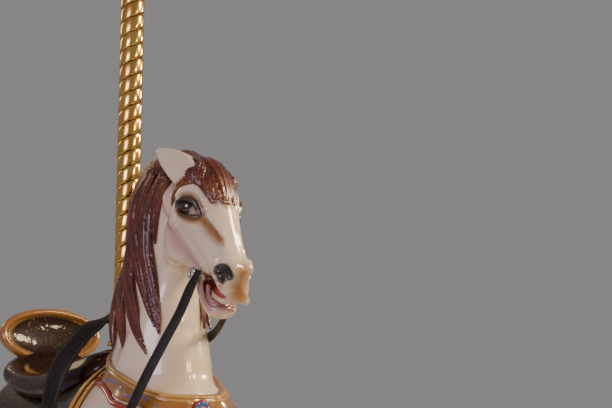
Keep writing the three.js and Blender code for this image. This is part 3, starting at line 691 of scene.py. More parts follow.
# The ear is a broad leaf laid back from the poll: its root, the way it points, across and out, and its half
# width and half thickness at distances from the root.
EAR_ROOT = np.array([407.0, 49, 1583])
EAR_WAYS = np.array([[-0.787, 0.252, 0.567], [0.440, -0.419, 0.797], [0.435, 0.873, 0.219]])
EAR_ROWS = [
    [-26, 24, 16], [0, 35, 16], [20, 37, 15], [43, 34, 13], [66, 29, 12], [86, 22.5, 10], [102, 15, 8.5],
    [114, 9, 7],
]
# Opposite corners of a box round both ears.
EAR_BOX = ([250, -130, 1520], [470, 130, 1680])
# The left ear lies that much further back and down.
EAR_LAID_BACK = np.array([25.0, 0, 15])


def ear_leaf(points):
    """Distance to the left ear."""
    along, across, out = ((points - EAR_ROOT) @ way for way in EAR_WAYS)
    rows = smooth(EAR_ROWS, 6)
    run = np.clip(along, rows[0, 0], rows[-1, 0])
    half, thick = (np.interp(run, rows[:, 0], rows[:, k]) for k in (1, 2))
    beyond = along - run
    return flat_round(across, out, beyond, half, thick)


def flat_round(across, out, beyond, half, thick):
    """Distance to a flat oval bar's face, from the place across it, out from it and past its end."""
    share = np.sqrt((across / half) ** 2 + (out / thick) ** 2 + (beyond / thick) ** 2)
    steep = np.sqrt(across**2 / half**4 + out**2 / thick**4 + beyond**2 / thick**4)
    return np.where(share < 0.01, -thick, share * (share - 1) / np.maximum(steep, 1e-6))


NOSTRIL = [[537, 1350, 0, 10], [549, 1351, 0, 13], [560, 1346, 0, 12], [566, 1333, 0, 9]]
NOSTRIL_BACK = [[546, 1338, 0, 10], [557, 1328, 0, 8]]
NOSTRIL_RIM = [
    [527, 1340, -1, 4], [532, 1358, -1, 4.5], [545, 1369, -1, 5], [557, 1367, -1, 5], [566, 1354, -2, 4],
    [567, 1338, -3, 3], [561, 1323, -2, 3], [546, 1320, 0, 3],
]
MOUTH = [[452, 0, 1341, 5], [464, 0, 1329, 10], [482, 0, 1312, 13], [504, 0, 1295, 12], [530, 0, 1279, 10]]
MOUTH_WIDEN = 0.3
UPPER_LIP = [
    [458, 34, 1343, 4], [474, 39, 1335, 4.5], [500, 43, 1312, 5], [526, 40, 1292, 5.5], [542, 29, 1283, 6],
    [550, 17, 1283, 6], [554, 0, 1285, 6],
]
LOWER_LIP = [
    [455, 34, 1342, 4], [457, 37, 1322, 5], [464, 38, 1299, 5.5], [477, 35, 1280, 6], [490, 28, 1270, 6],
    [501, 15, 1267, 6], [504, 0, 1267, 6],
]
GUM = [[468, 27, 1322, 4], [474, 28, 1303, 4.5], [486, 25, 1287, 5], [494, 14, 1281, 5], [497, 0, 1280, 5]]
UPPER_LID = [
    [401, 73, 1507, 3], [409, 76, 1514, 4], [423, 75, 1519, 4.5], [439, 70, 1519, 4.5], [451, 64, 1514, 4.5],
    [462, 58, 1504, 4.5], [468, 53, 1490, 3.5], [471, 50, 1479, 2.5],
]
LOWER_LID = [
    [471, 50, 1479, 2.5], [461, 57, 1475, 3.5], [448, 65, 1476, 4.5], [432, 72, 1480, 4.5],
    [416, 75, 1488, 4], [402, 74, 1501, 3],
]
EYE_CENTER = np.array([421.0, 51, 1502])
EYE_RADIUS = 23.0
# Forward and up directions of the left eye.
EYE_WAYS = np.array([[0.94, -0.33, 0], [0, 0, 1.0]])


def head_features(field):
    flank = partial(on_flank, field)
    crest = [
        [374, 1474, 0, 6], [386, 1455, 0, 6], [404, 1433, 0, 6],
        [426, 1407, 0, 5.5], [447, 1384, 0, 5], [461, 1366, 0, 4],
    ]
    jowl_edge = [
        [352, 1500, 0, 9], [328, 1470, 0, 9], [320, 1430, 0, 9], [340, 1388, 0, 8], [380, 1366, 0, 7],
    ]
    brow = [[396, 1530, 0, 11], [414, 1543, 0, 12], [438, 1545, 0, 12], [460, 1530, 0, 10], [476, 1504, 0, 8]]
    return [
        ridge(flank(brow), 6),
        swell((378, 76, 1500), (17, 25, 20), 6),
        swell((330, 62, 1527), (15, 26, 34), 13, -0.25),
        ridge(flank([[354, 1508, 0, 7], [348, 1488, 0, 7], [328, 1484, 0, 7]]), -8),
        swell((362, 68, 1468), (17, 26, 14), 9),
        ridge(flank([[393, 1524, 0, 6], [396, 1500, 0, 6], [392, 1478, 0, 6]]), -4),
        swell((470, 48, 1452), (30, 26, 26), -4, 0.6),
        ridge(flank(crest), 8),
        ridge(flank([[x - 15, z - 10, lift, 12] for x, z, lift, r in crest]), -7),
        ridge(flank([[x + 17, z + 8, lift, 12] for x, z, lift, r in crest[1:]]), -4),
        swell((470, 55, 1418), (26, 26, 22), 4),
        ridge(flank(jowl_edge), -8),
        ridge(flank([[486, 1480, 0, 9], [506, 1456, 0, 9], [522, 1430, 0, 9], [536, 1400, 0, 9]]), 3.5),
        swell((520, 40, 1385), (16, 20, 30), -4, 0.5),
        swell((572, 22, 1362), (28, 26, 16), 7),
        swell((566, 34, 1320), (24, 20, 18), -10),
        swell((572, 22, 1317), (20, 26, 15), -8),
        swell((440, 64, 1500), (44, 30, 30), 3),
        ball_hollow(EYE_CENTER, EYE_RADIUS - 0.4, 2),
        bead(UPPER_LID, 5),
        bead(LOWER_LID, 5),
        ridge([[x + 0.2 * (x - 425), y, z + 10, 3.5] for x, y, z, _ in UPPER_LID[1:6]], -2.5),
        swell((452, 60, 1530), (24, 20, 18), 4),
        ridge([[x + 2, y, z - 9, 4] for x, y, z, _ in LOWER_LID[1:5]], -2),
        bead(flank(NOSTRIL_RIM), 12),
        hollow(flank([[x, z, -1, r] for x, z, _, r in NOSTRIL]), 4),
        hollow(flank([[x, z, -2, r] for x, z, _, r in NOSTRIL_BACK]), 4),
        ridge(flank([[534, 1322, 0, 5], [544, 1308, 0, 5], [558, 1303, 0, 5], [568, 1310, 0, 4]]), -3.5),
        hollow(MOUTH, 4, (1, MOUTH_WIDEN, 1)),
        bead(UPPER_LIP, 8),
        bead(LOWER_LIP, 6),
        bead(GUM, 4),
        swell((478, 0, 1258), (18, 26, 14), 4),
        ridge([[440, 34, 1318, 8], [455, 33, 1296, 8], [472, 28, 1270, 8]], 3),
        ridge(flank([[446, 1362, 0, 5], [441, 1346, 0, 5], [442, 1330, 0, 5]]), -3),
        ridge(flank([[322, 1400, 0, 26], [292, 1320, 0, 30], [258, 1240, 0, 34], [232, 1165, 0, 36]]), 7),
        ridge(flank([[290, 1420, 0, 16], [258, 1340, 0, 20], [222, 1260, 0, 24], [186, 1190, 0, 26]]), -4),
        ridge([[322, 8, 1370, 14], [336, 8, 1290, 16], [352, 8, 1200, 20], [368, 8, 1120, 22]], 4),
        swell(EAR_ROOT + 52 * EAR_WAYS[0] + 12 * EAR_WAYS[2], (34, 12, 28), -3),
    ]


def painted(points, chains, strength=1.0, sharp=0.0):
    """How strongly painted lines colour points: full strength on a line and 0 at its radius."""
    mask = np.zeros(len(points))
    for rows in chains:
        gap, radius = Chain(rows).measure(points)
        mask = np.maximum(mask, ease(np.clip((1 - gap / radius) / (1 - sharp), 0, 1)))
    return strength * mask


def strongest(*masks):
    return np.max(masks, axis=0)


def unpainted(points, *names):
    return {name: np.zeros(len(points)) for name in names}


def widened(rows, more):
    """The same line with a larger radius."""
    return [[x, y, z, radius + more] for x, y, z, radius in rows]


def head_masks(field, points):
    """Where the head's shading colours are: an airbrushed look on cream, with painted shade and highlights.
    """
    flank = partial(on_flank, field)
    side = mirrored(points)
    paint = partial(painted, side)
    stripe = flank([
        [463, 1477, 0, 24], [485, 1461, 0, 32], [503, 1443, 0, 34], [518, 1426, 0, 30], [527, 1412, 0, 16],
    ])
    past = ((side[:, 0] - 463) + (side[:, 2] - 1475)) * 0.707
    above_eye = [[x, y, z, 26] for x, y, z, _ in UPPER_LID[2:]]
    below_eye = [[x, y, z - 3, 19] for x, y, z, _ in LOWER_LID]
    nostril_low = flank([[526, 1330, 0, 14], [545, 1312, 0, 17], [562, 1308, 0, 17]])
    corner = flank([[446, 1356, 0, 13], [462, 1350, 0, 14], [486, 1332, 0, 10]])
    chin = [[500, 14, 1248, 18], [480, 20, 1254, 18], [452, 22, 1288, 16]]
    jaw = flank([[330, 1476, 0, 20], [322, 1436, 0, 22], [340, 1390, 0, 20], [384, 1364, 0, 14]])
    under_bump = flank([[394, 1520, 0, 10], [358, 1512, 0, 13], [349, 1488, 0, 14], [326, 1482, 0, 12]])
    ear_root = [[396, 62, 1560, 18], [386, 66, 1552, 16]]
    ochre = strongest(
        paint([stripe], 0.95) * np.clip((17 - 0.12 * (1476 - side[:, 2]) - past) / 3, 0, 1),
        paint([[[575, 0, 1338, 46], [570, 0, 1318, 54], [562, 0, 1294, 50]]], 0.95),
        # Painted shade in the creases under the nostrils and in the mouth's corners.
        paint([nostril_low, corner], 0.6),
        # Painted shade along the jowl's edge, under the chin, round the ear's root and in the groove below
        # the ear's bump.
        paint([chin, jaw, ear_root, under_bump], 0.5),
        paint([above_eye, below_eye], 0.95, 0.2),
        paint([widened(UPPER_LIP, 12)], 0.6),
    )
    nostrils = [flank([[x, z, -4, r + 5] for x, z, _, r in rows]) for rows in (NOSTRIL, NOSTRIL_BACK)]
    dark = strongest(
        paint([widened(UPPER_LID, 7.5)], 1, 0.35),
        paint([widened(LOWER_LID[:-1], 7.5)], 0.75, 0.35),
        paint(nostrils, 1, 0.55),
        # A painted shadow ring on the skin round the eyeball, where the socket meets it.
        np.clip((EYE_RADIUS + 5 - np.linalg.norm(side - EYE_CENTER, axis=1)) / 3, 0, 1),
    )
    middle = np.array(MOUTH)[:, [0, 2]]
    gaps = [segment_gap(side[:, [0, 2]], a, b) for a, b in zip(middle[:-1], middle[1:])]
    from_middle = np.min(gaps, axis=0)
    inner = np.interp(side[:, 0], [448, 474, 500, 526, 546, 558, 564], [33, 37, 38, 36, 26, 12, 0])
    gum = np.clip((inner - side[:, 1]) / 4 + 0.6, 0, 1) * np.clip((22 - from_middle) / 4, 0, 1)
    lips = strongest(paint([widened(LOWER_LIP, 6)], 1, 0.3), paint([widened(GUM, 4)], 0.75, 0.3))
    lips *= np.clip((1338 - side[:, 2]) / 14, 0, 1)
    # Painted shade behind the cheek's crest; painted pink highlights on the crest and the bumps below the
    # ear.
    behind_crest = flank([[356, 1470, 0, 32], [380, 1432, 0, 42], [410, 1398, 0, 38], [444, 1368, 0, 22]])
    on_crest = flank([[380, 1466, 0, 13], [404, 1433, 0, 13], [426, 1407, 0, 13], [461, 1366, 0, 11]])
    poll = flank([[336, 1540, 0, 26], [336, 1500, 0, 26], [352, 1466, 0, 26]])
    tear = np.linalg.norm((side - [465, 52, 1486]) / [9, 12, 8], axis=1)
    forehead = flank([[440, 1580, 0, 28], [462, 1556, 0, 26], [478, 1534, 0, 26], [486, 1512, 0, 18]])
    spikes = [
        [[464, 30, 1552, 26], [478, 26, 1526, 26], [488, 20, 1502, 14]],
        [[486, 0, 1552, 40], [498, 0, 1522, 34], [506, 0, 1500, 16]],
    ]
    return {
        "ochre": ochre,
        "dark": dark * np.clip(tear, 0, 1) ** 2,
        "gum": gum * (1 - 0.85 * lips),
        # Lip paint, the lilac eye corner, and the painted shade and pink highlights of the cheek.
        "mauve": strongest(
            lips,
            paint([behind_crest], 0.7),
            paint([on_crest], 0.8),
            paint([poll], 0.4),
            0.3 * np.clip(1.4 - tear, 0, 1),
        ),
        "hair": paint([forehead, *spikes]),
        "warm": paint([flank([[430, 1452, 0, 46], [452, 1410, 0, 46], [470, 1370, 0, 30]])], 0.35),
    }


def segment_gap(points, a, b):
    """Distance from points to one straight stretch."""
    along = b - a
    share = np.clip((points - a) @ along / (along @ along), 0, 1)
    return np.linalg.norm(points - a - share[:, None] * along, axis=1)


# How near the skin the carved features are worked out on a grid.
CARVED_BAND = 16.0


def extract(skin, step, keep=None, passes=()):
    """The skin's surface as triangles, from a grid of that step and cut finer where each pass says."""
    source = skin.field
    last = np.array(source.values.shape) - 1
    carved = Field(source.first * source.step, (source.first + last) * source.step, step)
    places = carved.places()
    nearest = np.clip(np.round(places / source.step).astype(int) - source.first, 0, last)
    values = source.values[tuple(nearest.T)]
    close = np.abs(values) < CARVED_BAND
    values[close] = skin(places[close])
    carved.fill(values)
    points, triangles = carved.surface()
    if keep:
        points, triangles, _ = compact(points, triangles[keep(points[triangles].mean(1))])
    points = project(skin, points)
    for choose in passes:
        points, triangles = refine(points, triangles, choose(points[triangles].mean(1)))
        points = project(skin, points, rounds=2)
    return points, triangles


def compact(points, faces, masks=None):
    """Drops the points that no face uses, with their masks."""
    used, renumbered = np.unique(faces, return_inverse=True)
    masks = {key: values[used] for key, values in (masks or {}).items()}
    return points[used], renumbered.reshape(faces.shape), masks


def build_head(paint):
    field = head_field()
    skin = Skin(field, head_features(field), [swell((558, 46, 1324), (28, 24, 20), -9)])
    fine = [([555, 38, 1345], 34), ([440, 66, 1500], 44), ([490, 20, 1298], 46), ([345, 75, 1605], 52)]

    def near_detail(centers):
        side = mirrored(centers)
        return np.any([np.linalg.norm(side - np.array(c), axis=1) < r for c, r in fine], axis=0)

    def keep(centers):
        return (above_seam(centers) > -4) & (centers[:, 0] > -20)

    points, triangles = extract(skin, 3.5, keep, [near_detail])
    masks = head_masks(field, points)
    nodes = ["head", "neck", "lower_jaw", "ear_left", "ear_right"]
    finish_piece(
        "horse_head_neck", points, triangles, paint, "cream_paint", nodes,
        masks=masks, normals=outward(skin, points),
    )
    return skin


# Eyes

SIDES = (("right", -1), ("left", 1))


def eye_paint():
    """Painted glass: a near black ball with a brown iris and a pale front corner."""
    made, tree, shader = new_material("eye_glass")
    grain = remap(tree, noise(tree, 400.0), 0.4, 0.6)
    colour = layered(
        tree, (0.006, 0.004, 0.004),
        (attribute(tree, "iris"), (0.030, 0.012, 0.007)),
        (attribute(tree, "white"), (0.55, 0.42, 0.46)),
        (math_node(tree, "MULTIPLY", grain, 0.25), (0.01, 0.006, 0.005)),
    )
    gloss(tree, shader, colour, 0.08, coat=1.0, coat_roughness=0.02)
    return made


def build_eyes():
    paint = eye_paint()
    turn = np.linspace(0.02, math.pi - 0.02, 40)
    profile = np.stack([np.sin(turn), np.cos(turn)], -1) * EYE_RADIUS
    for word, side in SIDES:
        forward, up = EYE_WAYS * [1, side, 1]
        gaze = np.cross(up, forward) * -side
        points, faces = lathe(profile, 64, gaze, EYE_CENTER * [1, side, 1])
        look = (points - EYE_CENTER * [1, side, 1]) / EYE_RADIUS
        ahead = look @ (0.90 * gaze + 0.42 * forward) / math.hypot(0.90, 0.42)
        corner = look @ (0.86 * forward - 0.5 * up)
        masks = {
            "iris": np.clip((0.93 - ahead) / 0.03, 0, 1),
            "white": np.clip((corner - 0.72) / 0.06, 0, 1),
        }
        finish_piece(f"eyeball_{word}", points, faces, paint, "eye_glass", [f"eye_{word}"], masks=masks)


# Hair

def hair_paint():
    """Dark chestnut enamel: painted highlight patches, painted shade in the grooves, painted gold glints."""
    made, tree, shader = new_material("chestnut_enamel")
    highlight_patch = remap(tree, noise(tree, 9.0, 3.0), 0.52, 0.72)
    fleck = (0.80, 0.42, 0.12)
    colour = layered(
        tree, HAIR_RED,
        (remap(tree, noise(tree, 16.0, 4.0), 0.32, 0.68), dimmed(HAIR_RED, 0.42)),
        # Painted highlights: golden brown patches on the dark chestnut.
        (math_node(tree, "MULTIPLY", highlight_patch, 0.55), HAIR_HIGHLIGHT_GOLD),
        # Painted shade: the grooves between the carved strands nearly black.
        (attribute(tree, "groove"), (0.030, 0.004, 0.002)),
        # Painted glints: bright gold flecks for small glints of light on the hair.
        (specks(tree, 230.0, 2.0, 0.66, 0.73, 0.45), fleck),
        (specks(tree, 520.0, 2.0, 0.66, 0.73, 0.7), fleck),
    )
    gloss(tree, shader, colour, 0.36, coat=0.4, coat_roughness=0.1)
    bump(tree, shader, noise(tree, 120.0, 2.0), 0.0006, 0.3)
    return made


class Lock:
    """A flat lock of carved hair. A row is [x, y, z, half width, thickness]. ups point out of the skin."""

    def __init__(self, rows, ups, ribs=3.0, phase=0.0, count=24):
        line = even(np.concatenate([np.array(rows, float), ups], 1), count)
        frame_ways = frames(line[:, :3], line[:, 5:8])
        self.table = np.concatenate([line[:, :5], *frame_ways, np.linspace(0, 1, count)[:, None]], 1)
        self.ribs, self.phase = ribs, phase

    def measure(self, points):
        """Distance to the lock's face, and how deep in a groove each point is, from 0 to 1."""
        best = np.full(len(points), 1e9)
        place = np.zeros(len(points))
        centers = self.table[:, :3]
        for k, (a, b) in enumerate(zip(centers[:-1], centers[1:])):
            along = b - a
            share = np.clip((points - a) @ along / (along @ along), 0, 1)
            gap = ((points - a - share[:, None] * along) ** 2).sum(1)
            closer = gap < best
            np.copyto(best, gap, where=closer)
            np.copyto(place, k + share, where=closer)
        base = np.minimum(place.astype(int), len(centers) - 2)
        here = self.table[base] + (place - base)[:, None] * (self.table[base + 1] - self.table[base])
        away = points - here[:, :3]
        half, thick, run = here[:, 3], here[:, 4], here[:, 14]
        beyond, across, out = ((away * here[:, k : k + 3]).sum(1) for k in (5, 8, 11))
        u = across / half
        wave = 0.30 * np.sin(2 * math.pi * (1.2 * run + self.phase))
        wave += 0.10 * np.sin(2 * math.pi * (3 * run + self.phase))
        coarse = np.abs(np.sin(math.pi * (self.ribs * (u + 1) / 2 + self.phase + 0.6 * wave))) ** 0.7
        finer = 2.3 * self.ribs * (u + 1) / 2 + 2.7 * self.phase + 1.6 * wave
        fine = np.abs(np.sin(math.pi * finer)) ** 0.8
        groove = np.clip(0.75 * (1 - coarse) + 0.4 * (1 - fine), 0, 1)
        deep = np.minimum(np.minimum(0.22 * thick, 2.8), 0.16 * half) * np.clip(1.6 * out / thick, 0, 1)
        return flat_round(across, out, beyond, half, thick) + deep * groove, groove


# The groove mask darkens the hair's grooves as painted shade.
def hair_piece(name, points, faces, paint, replaced, groove, **details):
    finish_piece(name, points, faces, paint, "chestnut_hair", replaced, masks={"groove": groove}, **details)


HAIR_SINK = 5.0


class Hair:
    """Locks joined into one carved mass that lies on the skin, as a distance function."""

    def __init__(self, skin, locks):
        self.skin, self.locks = skin, locks

    def gather(self, points):
        values, groove = np.full(len(points), FAR), np.zeros(len(points))
        for lock in self.locks:
            pick = in_box(points, lock.table[:, :3], lock.table[:, 3].max() + 16)
            gap, grooved = lock.measure(points[pick])
            groove[pick] = np.where(gap < values[pick], grooved, groove[pick])
            values[pick] = soft_min(values[pick], gap, 2.5)
        return values, groove

    def __call__(self, points):
        return np.maximum(self.gather(points)[0], -self.skin.field.sample(points) - HAIR_SINK)

    def build(self, name, step, paint, replaced):
        tables = np.concatenate([lock.table for lock in self.locks])
        grow = tables[:, 3].max() + 6
        field = Field(tables[:, :3].min(0) - grow, tables[:, :3].max(0) + grow, step)
        places = field.places()
        values = np.full(len(places), FAR)
        skin_gap = self.skin.field.sample(places)
        close = (skin_gap > -14) & (skin_gap < 58)
        values[close] = self(places[close])
        field.fill(np.clip(values, -FAR, FAR))
        points, triangles = field.surface()
        points = project(self, points, rounds=3, most=2.0)
        groove = self.gather(points)[1] ** 1.3
        hair_piece(name, points, triangles, paint, replaced, groove, normals=outward(self, points))


def lay(skin, rows, side, lift=0.0, ribs=3.0, phase=0.0):
    """A lock on one side of the horse, seated at least a lift above the skin."""
    rows = even(np.array(rows, float) * [1, side, 1, 1, 1], 12)
    ups = outward(skin.field.sample, rows[:, :3])
    short = np.clip(lift - skin.field.sample(rows[:, :3]), 0, 20)
    rows[:, :3] += ups * short[:, None]
    return Lock(rows, ups, ribs, phase)


# The mane's locks down the left side of the neck, each with its ribs.
MANE = [
    ([[304, 32, 1612, 26, 22], [252, 37, 1618, 32, 28], [198, 42, 1586, 35, 29], [165, 46, 1526, 35, 28],
      [152, 48, 1462, 34, 26], [144, 49, 1420, 31, 23], [132, 50, 1372, 26, 20]], 4),
    ([[238, 56, 1604, 22, 14], [208, 62, 1573, 27, 15], [188, 67, 1535, 29, 16], [180, 70, 1492, 30, 16],
      [178, 72, 1440, 29, 16], [178, 76, 1399, 27, 15], [190, 84, 1354, 25, 14], [212, 90, 1304, 22, 12],
      [240, 91, 1251, 17, 10], [266, 89, 1208, 10, 8], [288, 84, 1176, 3, 2]], 3),
    ([[262, 58, 1600, 22, 13], [234, 63, 1566, 26, 14], [216, 67, 1526, 27, 15], [208, 71, 1486, 27, 15],
      [211, 75, 1437, 25, 15], [226, 77, 1394, 22, 13], [241, 76, 1355, 18, 11], [258, 73, 1314, 13, 9],
      [274, 69, 1273, 9, 7], [290, 65, 1238, 3, 2]], 3),
    ([[304, 58, 1590, 18, 12], [274, 62, 1558, 23, 13], [252, 65, 1522, 25, 14], [246, 70, 1481, 26, 14],
      [250, 72, 1433, 24, 13], [258, 70, 1392, 20, 12], [268, 66, 1349, 17, 10], [279, 64, 1308, 15, 9],
      [292, 62, 1266, 11, 7], [303, 61, 1222, 3, 2]], 3),
    ([[326, 60, 1582, 12, 8], [302, 62, 1550, 17, 10], [290, 65, 1524, 17, 10], [284, 67, 1494, 14, 9],
      [281, 66, 1463, 9, 7], [281, 64, 1432, 2, 2]], 2),
    ([[166, 60, 1412, 22, 13], [152, 72, 1365, 24, 14], [152, 84, 1310, 25, 14], [172, 94, 1262, 20, 12],
      [196, 98, 1222, 12, 8], [218, 100, 1180, 3, 2]], 3),
    ([[152, 56, 1424, 20, 13], [134, 66, 1375, 24, 14], [124, 76, 1330, 25, 14], [122, 86, 1282, 24, 13],
      [134, 97, 1236, 17, 10], [156, 106, 1190, 3, 2]], 3),
]
# The left rein passes over the neck below this height, so the locks of that side end above it.
LEFT_MANE_LOW = 1238


def build_mane(skin, paint):
    for word, side in SIDES:
        locks = []
        for k, (rows, ribs) in enumerate(MANE):
            rows = np.array(rows, float)
            if side > 0:
                top, low = rows[0, 2], rows[-1, 2]
                rows[:, 2] = top - (top - rows[:, 2]) * min(1, (top - LEFT_MANE_LOW) / (top - low))
            locks.append(lay(skin, rows, side, 1.0, ribs, 0.37 * k + 0.1 * side))
        nodes = [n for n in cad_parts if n.startswith(f"mane_lock_{word}")]
        Hair(skin, locks).build(f"mane_{word}", 2.9, paint, nodes)


def combed(points):
    """How deep in the crest's carved lines each point is, from 0 to 1."""
    run = 0.92 * points[:, 0] - 0.40 * points[:, 2] + 8 * np.sin(points[:, 2] / 45)
    return 1 - np.abs(np.sin(math.pi * run / 13)) ** 0.7


def build_crest(paint):
    """The combed mass along the top of the neck that the locks spring from."""
    field = Field((50, -110, 1180), (400, 110, 1660), 4.0)
    field.values = node_values(field, "mane_crest", 7)
    crest = Skin(field, [lambda points, values: values + 1.8 * combed(points)])
    points, triangles = extract(crest, 5.0, passes=[lambda centers: centers[:, 2] > 1350])
    groove = combed(mirrored(points)) ** 1.3
    normals = outward(crest, points)
    hair_piece("mane_crest_hair", points, triangles, paint, ["mane_crest"], groove, normals=normals)


# The forelock's locks on the left side: the middle fall, the one beside it, the roll before the ear and the
# thin lock that curls round the temple.
FORELOCK = [
    ([[264, 6, 1622, 24, 16], [304, 6, 1640, 28, 20], [340, 6, 1628, 30, 20], [376, 6, 1613, 30, 20],
      [410, 6, 1606, 30, 20], [438, 6, 1589, 28, 19], [464, 6, 1559, 25, 15], [484, 5, 1528, 18, 9],
      [493, 5, 1503, 6, 3]], 3),
    ([[300, 26, 1620, 22, 14], [340, 30, 1614, 26, 17], [384, 32, 1604, 27, 18], [424, 32, 1586, 25, 17],
      [450, 28, 1560, 23, 14], [470, 24, 1530, 18, 9], [481, 21, 1503, 6, 3]], 3),
    ([[421, 43, 1581, 8, 6], [430, 46, 1575, 15, 11], [443, 46, 1567, 17, 13], [455, 42, 1558, 13, 9],
      [467, 36, 1549, 5, 4]], 1),
    ([[452, 46, 1566, 13, 10], [430, 57, 1562, 15, 10], [408, 64, 1555, 13, 8], [391, 69, 1541, 9, 7],
      [384, 72, 1524, 7, 6], [382, 74, 1506, 2, 2]], 2),
]


def build_forelock(skin, paint):
    locks = []
    for _, side in SIDES:
        locks += [lay(skin, rows, side, 0.5, ribs, 0.29 * k) for k, (rows, ribs) in enumerate(FORELOCK)]
    Hair(skin, locks).build("forelock_hair", 2.7, paint, ["forelock"])


HAIR_TOP = 28
HAIR_UNDER = 8


def tail_lock(rows, ups, phase):
    """A flat, tapering lock with fine wavy grooves. A row is [x, y, z, half width, thickness]."""
    ribs, count = 3.0, 60
    line = even(np.concatenate([rows, ups], 1), count)
    centers, half, thick = line[:, :3], line[:, 3:4], line[:, 4:5]
    _, across, out = frames(centers, line[:, 5:8])
    run = np.linspace(0, 1, count)[:, None]
    top = np.linspace(0, math.pi, HAIR_TOP, endpoint=False)
    turn = np.concatenate([top, math.pi + np.linspace(0, math.pi, HAIR_UNDER, endpoint=False)])[None, :]
    u = np.cos(turn)
    wander = 0.35 * np.sin(2 * math.pi * (1.3 * run + phase))
    wander += 0.12 * np.sin(2 * math.pi * (3.1 * run + 2 * phase))
    coarse = np.abs(np.sin(math.pi * (ribs * (u + 1) / 2 + phase + 0.6 * wander))) ** 0.7
    fine = np.abs(np.sin(math.pi * (3.3 * ribs * (u + 1) / 2 + 2.7 * phase + 1.6 * wander))) ** 0.7
    over = np.clip(np.sin(turn) * 1.6, 0, 1)
    deep = np.minimum(0.30 * thick, 3.4)
    height = np.where(np.sin(turn) > 0, np.abs(np.sin(turn)) ** 0.75 * thick, 0.5 * np.sin(turn) * thick)
    height = height - over * deep * (0.75 * (1 - coarse) + 0.35 * (1 - fine))
    rings = centers[:, None] + (u * half)[..., None] * across[:, None] + height[..., None] * out[:, None]
    points, faces = loft(rings)
    groove = over * np.clip(0.75 * (1 - coarse) + 0.5 * (1 - fine), 0, 1) ** 1.4
    return points, faces, np.concatenate([groove.ravel(), [0.5, 0.5]])


TAIL = [
    [-640, 0, 1085, 20], [-668, 0, 1108, 30], [-718, 0, 1092, 38], [-758, 0, 1030, 43], [-776, 0, 940, 46],
    [-788, 0, 840, 42], [-806, 0, 750, 31], [-836, 0, 680, 15], [-862, 0, 645, 4],
]
TAIL_LOCKS = 13


def build_tail(paint):
    core = smooth(TAIL, 6)
    _, across, out = frames(core[:, :3], np.array([[-1.0, 0, 0.35]] * len(core)))
    run = np.linspace(0, 1, len(core))
    locks = []
    for k in range(TAIL_LOCKS + 1):
        turn = 2 * math.pi * k / TAIL_LOCKS + 0.9 * run + 0.35 * np.sin(2 * math.pi * run + k)
        spread = core[:, 3] * (0.72 if k < TAIL_LOCKS else 0.0)
        away = np.sin(turn)[:, None] * across + np.cos(turn)[:, None] * out
        line = core[:, :3] + spread[:, None] * away
        cut = len(core) - (k * 5) % 9
        pick = np.linspace(0, cut - 1, 12).astype(int)
        share = np.interp(np.linspace(0, 1, 12), [0, 0.2, 0.75, 1], [0.40, 0.46, 0.42, 0.06])
        half = share * core[pick, 3].clip(18)
        rows = np.concatenate([line[pick], half[:, None] + 1, 0.62 * half[:, None] + 1], 1)
        locks.append(tail_lock(rows, away[pick], 0.31 * k))
    points, faces = join([(p, f) for p, f, _ in locks])
    groove = np.concatenate([groove for _, _, groove in locks])
    hair_piece("tail_hair", points, faces, paint, ["tail"], groove, core=np.zeros(3))


# Body and legs

# Places down each leg: elbow or hip, middle of the upper leg, knee or hock, middle of the cannon, fetlock,
# pastern and the coronet that the hoof starts at.
LEG_PLACES = {
    "fore_leg_right": [
        [250, -92, 940], [320, -98, 785], [412, -95, 700], [375, -95, 588], [332, -95, 484], [324, -95, 452],
        [326, -95, 425],
    ],
    "fore_leg_left": [
        [250, 92, 940], [348, 98, 815], [455, 95, 768], [430, 95, 655], [374, 95, 556], [360, 95, 528],
        [352, 95, 500],
    ],
    "hind_leg_right": [
        [-470, -90, 940], [-512, -96, 775], [-628, -94, 660], [-690, -94, 535], [-735, -94, 432],
        [-757, -94, 405], [-783, -94, 385],
    ],
    "hind_leg_left": [
        [-470, 90, 940], [-458, 96, 775], [-550, 94, 642], [-600, 94, 515], [-635, 94, 412], [-655, 94, 385],
        [-681, 94, 365],
    ],
}


def leg_features(name, places):
    """Joints, tendon grooves and muscles of one leg, on that leg only."""
    thigh, knee, cannon, fetlock, pastern = (np.array(p, float) for p in places[1:6])
    down = (fetlock - knee) / np.linalg.norm(fetlock - knee)
    back = np.array([down[2], 0, -down[0]])
    back = -back if back[0] > 0 else back
    side = math.copysign(1, places[0][1])
    features = [
        swell(knee - 6 * back, (30, 40, 30), 5),
        swell(knee + 20 * back, (16, 30, 20), -3),
        swell(fetlock + 22 * back, (18, 30, 18), 5),
        swell(pastern - 16 * back, (14, 40, 14), -2),
    ]
    for out in (-1, 1):
        line = [knee + 34 * down, cannon, fetlock - 30 * down]
        features.append(ridge([[*(p + 4 * back + [0, out * 21, 0]), 8] for p in line], -4))
    if name.startswith("hind"):
        features.append(swell(knee + 34 * back, (20, 26, 26), 9))
        ham = [[*(thigh + [-30, side * 30, -10]), 14], [*(knee + 30 * back + [0, side * 12, 26]), 9]]
        features.append(ridge(ham, 4))
    else:
        muscle = [[*(thigh + [20, side * 44, 20]), 16], [*(knee + [-26, side * 20, 46]), 10]]
        groove = [[*(thigh + [-8, side * 46, 10]), 8], [*(knee + [-46, side * 20, 50]), 6]]
        features += [ridge(muscle, 4), ridge(groove, -3)]
    return features


def body_field():
    field = Field((-830, -240, 300), (500, 240, 1345), 5.0)
    values = blur(trunk_values(field), 13 / field.step)
    for name in LEG_PLACES:
        values = soft_min(values, node_values(field, name, 7), 40)
    field.values = values.astype(np.float32)
    return field


